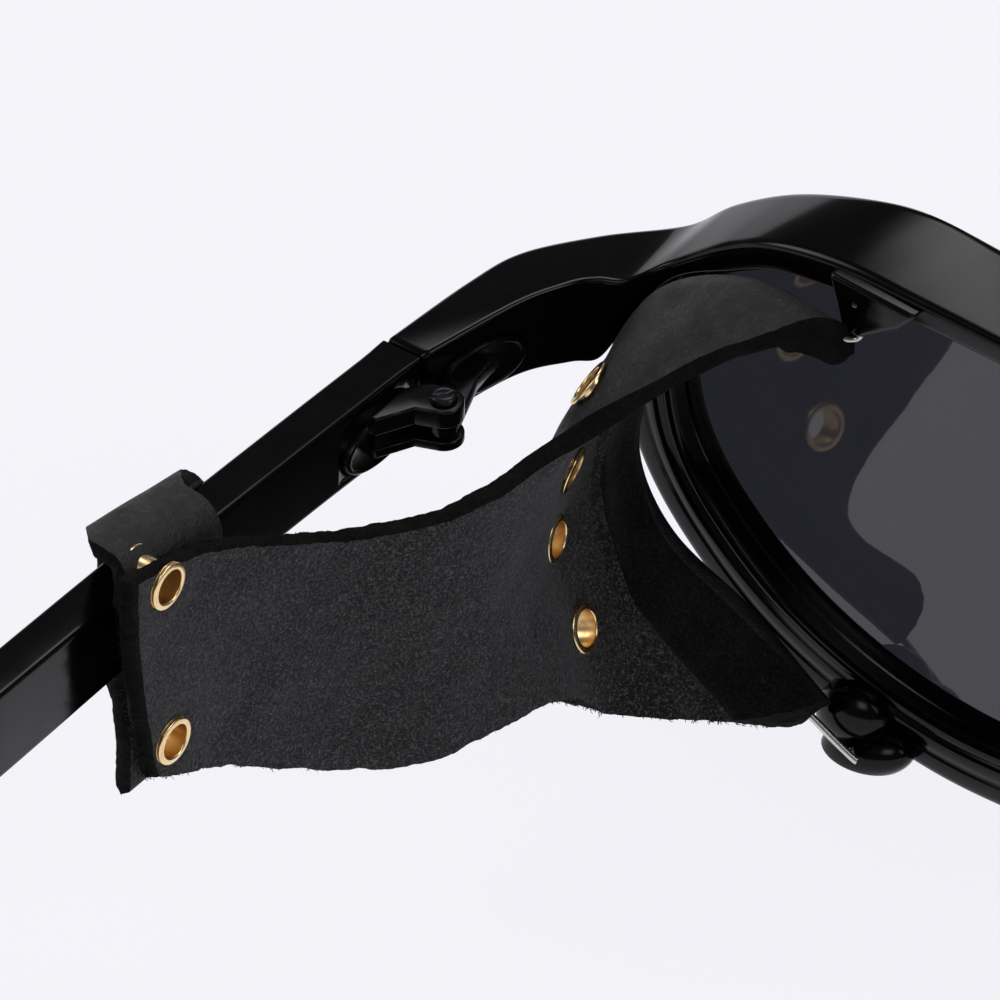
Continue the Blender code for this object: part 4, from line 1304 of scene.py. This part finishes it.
@dataclass
class Leather:
    """Cut leather shield: flap along the temple, crease, vented curve and a hem folded over its wire."""

    flap: tuple[tuple[float, ...], ...] = (
        (69.2, 61.5, 43.3, 23, 2.6, 0), (69.2, 51.5, 40, 18.8, 0.8, 0), (68, 45, 37, 15.4, 0, 0),
        (66, 38.4, 34.1, 11.9, 0, 0), (62.9, 33.2, 33.6, 11, 0, 0), (61, 27.6, 33.6, 11, 0, 0.8),
        (60.2, 21.5, 33.8, 9.8, 0, 2.5),
    )
    shares: tuple[float, ...] = (0, 0.08, 0.2, 0.41, 0.59, 0.77, 0.89, 1)
    vent_rows: tuple[tuple[str, float], ...] = (("a", 1.65), ("b", 3), ("c", 4), ("d", 5))
    vents: tuple[Row, ...] = (
        (52.3, 14.5, 41.2), (57.6, 15.4, 39), (61.1, 16.4, 34.3), (64, 15.1, 26.2), (65.6, 15, 18.4),
        (62.9, 15, 10.9), (61.4, 14.8, 6.8), (60.3, 14.4, 3.9),
    )
    seam: tuple[Row, ...] = (
        (46.4, 9.4, 43.9), (52.6, 9.2, 43.6), (60.2, 9, 38.4), (65.2, 8, 28.1), (66.2, 8, 19.4), (63.7, 8, 12),
        (57, 8, 7.4), (49.4, 8.9, 4.6),
    )
    hem_edge: tuple[Row, ...] = (
        (45, 4.8, 40), (53.4, 6, 41.3), (60.3, 5.4, 36.8), (64.2, 4.6, 27.7), (65.2, 4.5, 20.4), (61.7, 4.4, 13.9),
        (54.2, 4.3, 9.9), (46.9, 4.6, 5),
    )
    strap_holes: tuple[tuple[str, float, float], ...] = (("upper", 57, 40.4), ("lower", 56.5, 25.2))
    thin: float = 0.8
    thick: float = 1.6
    across: int = 22
    down: int = 18
    ragged: float = 0.22
    hole: float = 1.4
    swell_from: float = 7.55
    fold_from: float = 7.72
    round_from: float = 8.66
    round_over: float = 0.34

    def columns(self) -> list[list[Vector]]:
        """Control points column by column, from the flap's rear end to the hem's front edge."""
        found = []
        for out, back, top, low, ahead, bulge in self.flap:
            line = []
            for share in self.shares:
                swell = bulge * math.sin(math.pi * share)
                line.append(spot(out + swell, back - ahead * share**2, top + (low - top) * share))
            found.append(line)
        return found + [[spot(*row) for row in table] for table in (self.vents, self.seam, self.hem_edge)]

    def point(self, column: float, row: float) -> Vector:
        """Point of the leather's middle surface."""
        return curve_at([curve_at(line, row) for line in self.columns()], column)

    def normal(self, column: float, row: float) -> Vector:
        """Direction out of the grain side."""
        small = 0.05
        over = self.point(column + small, row) - self.point(column - small, row)
        below = self.point(column, row + small) - self.point(column, row - small)
        return below.cross(over).normalized()

    def holes(self) -> dict[str, tuple[Vector, Vector]]:
        """Centre and outward direction of each eyelet, by kind and name."""
        found = {f"vent_{name}": (self.point(7, row), self.normal(7, row)) for name, row in self.vent_rows}
        for name, back, up in self.strap_holes:
            found[f"strap_{name}"] = (spot(self.flap[0][0], back, up), RIGHT)
        return found

    def surface(self, seed: int) -> tuple[np.ndarray, np.ndarray, np.ndarray]:
        """Middle surface of the leather.

        Args:
            seed: picks this side's own wrinkles and ragged edge.

        Returns:
            Column places, points and unit normals, one for each column and row of the fine grid.
        """
        places = [i / self.across for i in range(round(8.64 * self.across) + 1)]
        places += [self.round_from + self.round_over * math.sin(math.pi / 2 * k / 9) for k in range(10)]
        lines = [curve(line, self.down) for line in self.columns()]
        points = np.array([[curve_at(row, place) for row in zip(*lines)] for place in places])
        for wrinkled in (False, True):
            below, over = np.gradient(points, axis=1), np.gradient(points, axis=0)
            normals = np.cross(below, over)
            normals /= np.linalg.norm(normals, axis=2, keepdims=True)
            if not wrinkled:
                self.wrinkle(points, normals, below, over, places, seed)
        return np.array(places), points, normals

    def wrinkle(
        self, points: np.ndarray, normals: np.ndarray, below: np.ndarray, over: np.ndarray,
        places: Sequence[float], seed: int,
    ) -> None:
        """Adds slow waves and ragged cut edges in place, keeping the leather flat round each eyelet.

        Args:
            points: the middle surface, changed in place.
            normals: its unit normals.
            below: its directions from row to row, made unit length in place.
            over: its directions from column to column, made unit length in place.
            places: each column's place.
            seed: picks this side's own wrinkles.
        """
        centres = [centre for centre, _ in self.holes().values()]
        rows = points.shape[1]
        below /= np.linalg.norm(below, axis=2, keepdims=True)
        over /= np.linalg.norm(over, axis=2, keepdims=True)
        for i, place in enumerate(places):
            for j in range(rows):
                here = Vector(points[i, j])
                near = min((here - centre).length for centre in centres)
                free = soft_step(2.2 * MM, 4.5 * MM, near) * (1 - soft_step(7.8, 8.6, place))
                start = here + Vector((seed * 3.1, 0, 0))
                wave = noise.noise(start * 90) * 0.22 + noise.noise(start * 260) * 0.09
                push = normals[i, j] * wave * free * MM
                edge = min(j, rows - 1 - j)
                if edge < 6:
                    tear = self.tear(start, 520, 1500, 3900)
                    fade = (1 - edge / 6) ** 2 * (1 - soft_step(8.5, 9.0, place))
                    push = push + below[i, j] * tear * self.ragged * fade * MM * (1 if j < 6 else -1)
                if i < 6:
                    tear = self.tear(start, 560, 1700, 4100)
                    push = push + over[i, j] * tear * self.ragged * (1 - i / 6) ** 2 * MM
                points[i, j] += push

    @staticmethod
    def tear(start: Vector, broad: float, middle: float, fine: float) -> float:
        """Ragged noise at three scales."""
        return noise.noise(start * broad) + 0.6 * noise.noise(start * middle) + 0.3 * noise.noise(start * fine)

    def halves(self, places: np.ndarray, points: np.ndarray, seed: int) -> tuple[np.ndarray, np.ndarray]:
        """Half thickness of the leather, thicker at the folded hem and dented under each eyelet.

        Args:
            places: each column's place.
            points: the middle surface.
            seed: picks this side's own drift of the fold's edge.

        Returns:
            Half thickness on the grain side and on the suede side, in metres.
        """
        centres = [np.array(centre) for centre, _ in self.holes().values()]
        near = np.min([np.linalg.norm(points - centre, axis=2) for centre in centres], axis=0) / MM
        dent = 0.11 * (1 - np.clip((near - 2.0) / 0.7, 0, 1) ** 2)
        dent = np.where(near < 2.7, dent, 0.0)
        step = np.zeros(points.shape[:2])
        for j in range(points.shape[1]):
            drift = noise.noise(Vector((j * 0.11, seed * 7.0, 0.3))) * 0.05
            drift = drift + noise.noise(Vector((j * 0.9, seed, 2))) * 0.02
            step[:, j] = np.clip((places - self.fold_from - drift) / 0.06, 0, 1)
        grow = np.clip((places - self.swell_from) / 0.9, 0, 1)
        grow = (grow * grow * (3 - 2 * grow))[:, None]
        turned = np.sqrt(np.clip(1 - ((places - self.round_from) / self.round_over) ** 2, 0, 1))
        round_off = np.where(places > self.round_from, turned, 1.0)[:, None]
        grain = (self.thin + (self.thick - self.thin) * grow) * round_off - dent
        suede = (self.thin + (self.thick - self.thin) * step * (1 - 0.12 * (1 - grow))) * round_off - dent
        start = np.clip(1 - places * self.across / 2.0, 0, 1)
        end = np.sqrt(1 - np.minimum(start, 1.0) ** 2)[:, None]
        grain, suede = grain * end, suede * end
        return np.maximum(grain, 0) * MM, np.maximum(suede, 0) * MM

    def sheet(self, name: str, seed: int) -> tuple[bpy.types.Object, float]:
        """Makes the leather with its three finishes, the suede on the hem a darker copy with painted shade.

        Args:
            name: the piece's name.
            seed: picks this side's own wrinkles and ragged edge.

        Returns:
            The piece and the flat area of the cut, in square metres.
        """
        places, points, normals = self.surface(seed)
        outer_half, inner_half = self.halves(places, points, seed)
        outer = points + normals * outer_half[:, :, None]
        inner = points - normals * inner_half[:, :, None]
        rows = points.shape[1]
        rings = []
        for i in range(len(places)):
            ring = [Vector(p) for p in outer[i]]
            for j, sign in ((rows - 1, 1), (0, -1)):
                beyond = Vector(points[i, j] - points[i, j - sign]).normalized()
                first, last = (Vector(side[i, j]) for side in ((outer, inner) if sign > 0 else (inner, outer)))
                ring += cut_edge(first, last, beyond, Vector(points[i, j]), 0.16, 0.12)
                if sign > 0:
                    ring += [Vector(p) for p in inner[i][::-1]]
            rings.append(ring)
        shaper = Shaper()
        shaper.skin(rings, caps=False)
        shaper.bm.verts.index_update()
        width = len(rings[0]) + 1
        for face in shaper.bm.faces:
            k = min(vert.index % width for vert in face.verts)
            i = min(vert.index // width for vert in face.verts)
            face.material_index = leather_slot(k, rows)
            if i < 2:
                face.material_index = 2
            if i > len(places) - 8 and face.material_index == 1:
                face.material_index = 0
            # Suede faces on the hem take the darker suede copy: painted shade.
            elif places[i] > 7.75 and face.material_index == 1:
                face.material_index = 3
        shaper.close(2e-6)
        made = shaper.piece(name, Rack.get("grain", "suede", "edge", "fold"), 70)

        def drills(tool: Shaper) -> None:
            """Every hole's cutter in one mesh."""
            for centre, out in self.holes().values():
                plug(centre, out, out.orthogonal(), (self.hole, self.hole), (-3, 3))(tool)

        cut(made, drills)
        made.data.shade_smooth()
        over, below = points[1:, :-1] - points[:-1, :-1], points[:-1, 1:] - points[:-1, :-1]
        return made, float(np.linalg.norm(np.cross(over, below), axis=2).sum())

    def fibres(self, name: str, seed: int, count: int = 4200) -> bpy.types.Object:
        """Loose fibres standing out of the cut edges.

        Args:
            name: the piece's name.
            seed: picks this side's own fibres.
            count: how many there are.

        Returns:
            The fibres as one object.
        """
        _, points, normals = self.surface(seed)
        chance = np.random.default_rng(seed + 40)
        rows, last = points.shape[1], round(8.3 * self.across)
        whole, tuft = Shaper(), Shaper()
        for turn in range(count):
            if turn % 40 == 0 and turn:
                whole.take(tuft)
                tuft = Shaper()
            pick = chance.random()
            if pick < 0.42:
                i, j, edge = int(chance.integers(0, last)), 0, "row"
            elif pick < 0.84:
                i, j, edge = int(chance.integers(0, last)), rows - 1, "row"
            else:
                i, j, edge = 0, int(chance.integers(0, rows)), "column"
            normal = Vector(normals[i, j])
            inner = (i, 1 if j == 0 else rows - 2) if edge == "row" else (1, j)
            beyond = Vector(points[i, j] - points[inner]).normalized()
            side = normal.cross(beyond)
            root = Vector(points[i, j]) + normal * chance.uniform(-0.62, 0.62) * MM
            root = root + side * chance.uniform(-0.3, 0.3) * MM
            lean = (beyond + normal * chance.normal(0, 0.55) + side * chance.normal(0, 0.7)).normalized()
            long = chance.uniform(0.08, 0.26) * MM * (1.5 if chance.random() < 0.05 else 1.0)
            bend = (lean + Vector(chance.normal(0, 0.5, 3))).normalized()
            knee = root + lean * long * 0.5
            path = [root - lean * 0.08 * MM, knee, knee + bend * long * 0.6]
            thick = chance.uniform(0.018, 0.042) * MM
            tuft.bar(path, (thick, thick * 0.8, thick * 0.25), 4)
        whole.take(tuft)
        return whole.piece(name, Rack.get("fibre"), 60)

    def build(self, side: Side) -> list[bpy.types.Object]:
        """Makes one side's shield and its loose fibres, declared as cut leather.

        Args:
            side: which side.

        Returns:
            The shield and the fibres.
        """
        seed = 1 if side is Side.RIGHT else 2
        sheet, area = self.sheet(f"leather_shield_{side.label}", seed)
        fuzz = self.fibres(f"leather_fuzz_{side.label}", seed)
        made = [sheet, fuzz]
        if side is Side.LEFT:
            flip(sheet)
            flip(fuzz)
        for piece in made:
            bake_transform(piece)
            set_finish(piece, "shield_leather")
        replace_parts(sheet, f"shield_panel_{side.label}")
        return made


@dataclass
class StrapLoop:
    """Leather band from the flap over the temple, round it and back to the flap."""

    front: tuple[Row, ...] = (
        (-0.264, 0, 0.849), (-0.264, 0, 0.895), (-0.028, 0.05, 0.922), (0.55, 0.1, 0.926), (1.05, 0.55, 0.903),
        (1.25, 1, 0.85), (1.25, 1, 0.739), (1.12, 0.8, 0.645), (0.65, 0.55, 0.614), (0.083, 0.2, 0.598),
        (-0.264, 0, 0.546), (-0.264, 0, 0.413),
    )
    rear: tuple[Row, ...] = (
        (-0.264, 0, 0.87), (-0.264, 0, 0.945), (-0.028, 0.05, 0.975), (0.55, 0.1, 0.98), (1.05, 0.55, 0.955),
        (1.25, 1, 0.895), (1.25, 1, 0.739), (1.12, 0.8, 0.645), (0.65, 0.55, 0.614), (0.083, 0.2, 0.598),
        (-0.264, 0, 0.546), (-0.264, 0, 0.413),
    )
    lean: float = 4.8
    start: float = 48.0
    wide: float = 11.2
    thick: float = 1.4
    steps: int = 12
    across: int = 34
    hole: float = 1.4

    def line(self, table: tuple[Row, ...], back: float) -> list[Vector]:
        """One edge's path, fine enough to bend smoothly.

        Args:
            table: outward, forward and up shares of each point.
            back: how far back the edge lies, in millimetres.

        Returns:
            The path's points.
        """
        points = []
        for out, ahead, up in table:
            across = TEMPLE_INNER + out * TEMPLE_THICK
            points.append(spot(across, back - ahead * self.lean, LENS_LOW + up * LENS_TALL))
        return curve(points, self.steps)

    def build(self, side: Side) -> bpy.types.Object:
        """Makes one side's loop.

        Args:
            side: which side.

        Returns:
            The loop.
        """
        seed = 5 if side is Side.RIGHT else 9
        edges = [self.line(self.front, self.start), self.line(self.rear, self.start + self.wide)]
        rings = []
        count = len(edges[0])
        for i in range(count):
            ring_out, ring_in = [], []
            end = math.sqrt(1 - max(0.0, 1 - min(i, count - 1 - i) / 2.0) ** 2)
            for k in range(self.across + 1):
                share = k / self.across
                here = edges[0][i].lerp(edges[1][i], share)
                nearby = [edges[0][n].lerp(edges[1][n], share) for n in (max(i - 1, 0), min(i + 1, count - 1))]
                ahead = nearby[1] - nearby[0]
                away = Vector((ahead.z, 0, -ahead.x)).normalized()
                start = here + Vector((0, seed, 0))
                tear = (noise.noise(start * 600) + 0.5 * noise.noise(start * 2100)) * 0.2 * MM
                fade = max(0.0, 1 - min(k, self.across - k) / 3) ** 2
                here = here + BACK * tear * fade
                wave = noise.noise(start * 240) * 0.1 * MM
                half = self.thick / 2 * end * MM
                ring_out.append(here - away * (half - wave * 0.6))
                ring_in.append(here + away * half)
            ring = ring_out
            for first, last, way in ((ring_out[-1], ring_in[-1], BACK), (ring_in[0], ring_out[0], -BACK)):
                ring = ring + cut_edge(first, last, way, first, 0.14, 0.09)
                if way is BACK:
                    ring = ring + ring_in[::-1]
            rings.append(ring)
        shaper = Shaper()
        shaper.skin(rings, caps=False)
        shaper.bm.verts.index_update()
        width, rows = len(rings[0]) + 1, self.across + 1
        for face in shaper.bm.faces:
            k = min(vert.index % width for vert in face.verts)
            face.material_index = leather_slot(k, rows)
        shaper.close(2e-6)
        made = shaper.piece(f"strap_band_{side.label}", Rack.get("grain", "suede", "edge"), 70)

        def drills(tool: Shaper) -> None:
            """Both eyelet holes."""
            for _, back, up in Leather().strap_holes:
                plug(spot(71.0, back, up), RIGHT, UP, (self.hole, self.hole), (-1.6, 1.6))(tool)

        cut(made, drills)
        if side is Side.LEFT:
            flip(made)
        dress(made, f"strap_loop_{side.label}", f"temple_{side.label}", "strap_leather")
        return made


@dataclass
class HemWire:
    """Spring wire through the hem, hooked into the ear and the lug."""

    radius: float = 0.3
    column: float = 8.5

    def build(self, leather: Leather, front: Front) -> bpy.types.Object:
        """Makes the right wire.

        Args:
            leather: the shield that it runs through.
            front: the moulding that it hooks into.

        Returns:
            The wire.
        """
        path = [leather.point(self.column, row * 0.25) for row in range(29)]
        ear = spot(front.ear_hole[0], 0, front.ear_hole[1])
        lug = spot(front.lug_hole[0], 0, front.lug_hole[1])
        head = [ear + BACK * back * MM - UP * down * MM for back, down in ((4.6, 0), (4.0, 1.2), (4.4, 3.4))]
        foot = [lug + BACK * 5.45 * MM, lug + BACK * 4.9 * MM, lug + BACK * 2.6 * MM]
        points = curve(head + path[1:-1:3] + foot, 10)
        shaper = Shaper()
        shaper.bar(points, [self.radius * MM] * len(points), 16)
        shaper.close(WELD)
        made = shaper.piece("hook_wire_right", Rack.get("wire"), 50)
        dress(made, "hem_wire_right", "front", "spring_wire")
        return made


@dataclass
class Softbox:
    """One soft lamp, placed by the direction that it shines from."""

    name: str
    azimuth: float
    height: float
    far: float
    wide: float
    tall: float
    power: float
    core: float = 2.6

    def build(self, target: Vector) -> None:
        """Makes the lamp and turns it to the target.

        Args:
            target: the point that it lights.
        """
        lamp = bpy.data.lights.new(self.name, "AREA")
        lamp.shape = "RECTANGLE"
        lamp.size, lamp.size_y, lamp.energy = self.wide, self.tall, self.power
        lamp.use_nodes = True
        w = Wiring(lamp.node_tree)
        across = w.node("ShaderNodeSeparateXYZ")
        w.join(w.node("ShaderNodeNewGeometry").outputs["Parametric"], across.inputs[0])
        edges = []
        for axis in ("X", "Y"):
            from_middle = w.maths("ABSOLUTE", w.maths("MULTIPLY_ADD", across.outputs[axis], 2.0, -1.0))
            edges.append(w.maths("SUBTRACT", 1.0, w.between(from_middle, 0.15, 1.0)))
        fall = w.maths("MULTIPLY", *edges)
        w.join(w.maths("MULTIPLY", fall, self.core), lamp.node_tree.nodes["Emission"].inputs["Strength"])
        a, e = math.radians(self.azimuth), math.radians(self.height)
        away = Vector((math.sin(a) * math.cos(e), -math.cos(a) * math.cos(e), math.sin(e)))
        holder = bpy.data.objects.new(self.name, lamp)
        holder.location = target + away * self.far
        holder.rotation_euler = away.to_track_quat("Z", "Y").to_euler()
        bpy.context.scene.collection.objects.link(holder)


@dataclass
class Studio:
    """Camera at the photograph's angle, pale floor and soft lamps."""

    target: Row = (-0.0661, 0.0539, 0.02485)
    forward: Row = (-0.465, 0.608, -0.643)
    far: float = 2.6
    wide: float = 0.07407
    room: float = 12.0
    pale: tuple[float, float, float, float] = (0.93, 0.925, 0.975, 1.0)
    evenness: float = 0.93
    lamps: tuple[Softbox, ...] = (
        Softbox("overhead lamp", 200, 62, 1.1, 1.1, 0.7, 4.6),
        Softbox("left lamp", 300, 35, 1.1, 0.7, 0.9, 3.2),
        Softbox("right lamp", 100, 40, 1.1, 0.7, 0.9, 3.2),
        Softbox("camera side lamp", 20, 55, 1.3, 0.9, 0.9, 2.2),
    )

    def camera(self) -> None:
        """Makes the camera."""
        lens = bpy.data.cameras.new("camera")
        lens.sensor_width = 36.0
        lens.lens = 36.0 * self.far / self.wide
        lens.clip_start, lens.clip_end = 0.05, 60.0
        holder = bpy.data.objects.new("camera", lens)
        look = Vector(self.forward).normalized()
        holder.location = Vector(self.target) - look * self.far
        holder.rotation_euler = look.to_track_quat("-Z", "Y").to_euler()
        bpy.context.scene.collection.objects.link(holder)
        bpy.context.scene.camera = holder

    def floor(self) -> None:
        """Makes the round floor with its low rising edge."""
        shaper = Shaper()
        profile = [(0.0, 0.0), (self.room, 0.0)]
        profile += [(self.room + 2 * math.sin(t), 2 - 2 * math.cos(t)) for t in (0.3, 0.6, 0.9, 1.2, 1.5)]
        verts = [shaper.bm.verts.new((r, 0, h - 0.0002)) for r, h in profile]
        edges = [shaper.bm.edges.new(pair) for pair in zip(verts, verts[1:])]
        bmesh.ops.spin(
            shaper.bm, geom=verts + edges, cent=(0, 0, 0), axis=UP, angle=math.tau, steps=96, use_merge=True
        )
        bmesh.ops.remove_doubles(shaper.bm, verts=shaper.bm.verts, dist=1e-5)
        bmesh.ops.recalc_face_normals(shaper.bm, faces=shaper.bm.faces)
        floor = shaper.piece("floor", [self.floor_material()], 60)

    def floor_material(self) -> bpy.types.Material:
        """Pale floor that cameras and reflections see evenly, and that keeps a faint shadow."""
        material = bpy.data.materials.new("pale floor")
        material.use_nodes = True
        w = Wiring(material.node_tree)
        shader = material.node_tree.nodes["Principled BSDF"]
        w.feed_all(shader, {"Base Color": (0.86, 0.86, 0.9, 1.0), "Roughness": 1.0, "Specular IOR Level": 0.0})
        glow = w.feed_all(w.node("ShaderNodeEmission"), {"Color": self.pale})
        path = w.node("ShaderNodeLightPath")
        seen = w.maths("MAXIMUM", path.outputs["Is Camera Ray"], path.outputs["Is Glossy Ray"])
        seen = w.maths("MAXIMUM", seen, path.outputs["Is Transmission Ray"])
        share = w.maths("MULTIPLY", seen, self.evenness)
        mix = w.feed_all(w.node("ShaderNodeMixShader"), {0: share, 1: shader.outputs[0], 2: glow.outputs[0]})
        w.join(mix.outputs[0], material.node_tree.nodes["Material Output"].inputs["Surface"])
        return material

    def build(self) -> None:
        """Makes the whole studio."""
        scene = bpy.context.scene
        scene.view_settings.view_transform = "Standard"
        world = bpy.data.worlds.new("studio")
        world.use_nodes = True
        world.node_tree.nodes["Background"].inputs["Color"].default_value = (0.9, 0.9, 0.95, 1.0)
        world.node_tree.nodes["Background"].inputs["Strength"].default_value = 0.12
        scene.world = world
        self.camera()
        self.floor()
        for lamp in self.lamps:
            lamp.build(Vector(self.target))


def report(pieces: Iterable[bpy.types.Object]) -> None:
    """Writes one line for each piece to the log."""
    for piece in pieces:
        LOG.info("%s: %d faces", piece.name, len(piece.data.polygons))


def pair(pieces: Sequence[bpy.types.Object]) -> list[bpy.types.Object]:
    """Adds the left-hand copy of each right-hand piece, riding on its own side.

    Args:
        pieces: the right-hand pieces.

    Returns:
        The right-hand pieces, then their copies.
    """
    found = list(pieces)
    for piece in pieces:
        copy = mirrored(piece, piece.name.replace("right", "left"))
        for node in piece["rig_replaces"]:
            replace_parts(copy, node.replace("right", "left"))
        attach(copy, piece["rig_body"].replace("right", "left"))
        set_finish(copy, piece["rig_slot"])
        found.append(copy)
    return found


def main() -> None:
    """Builds every piece in order, then the studio."""
    logging.basicConfig(level=logging.INFO, format="%(relativeCreated)6.0f ms  %(message)s")
    front, leather = Front(), Leather()
    report([front.build()])
    report(pair([Lens().build()]))
    report(pair(Hinge().build(*front.plate())))
    report(pair([Temple().build()]))
    report(pair([HemWire().build(leather, front)]))
    for label, (centre, out) in leather.holes().items():
        strap = label.startswith("strap")
        body, rise = ("temple_right", STRAP_RISE) if strap else ("front", 0.0)
        report(pair(Eyelet().build(label, body, centre, out, rise)))
    for side in Side:
        report(leather.build(side))
        report([StrapLoop().build(side)])
    Studio().build()


if __name__ == "__main__":
    main()
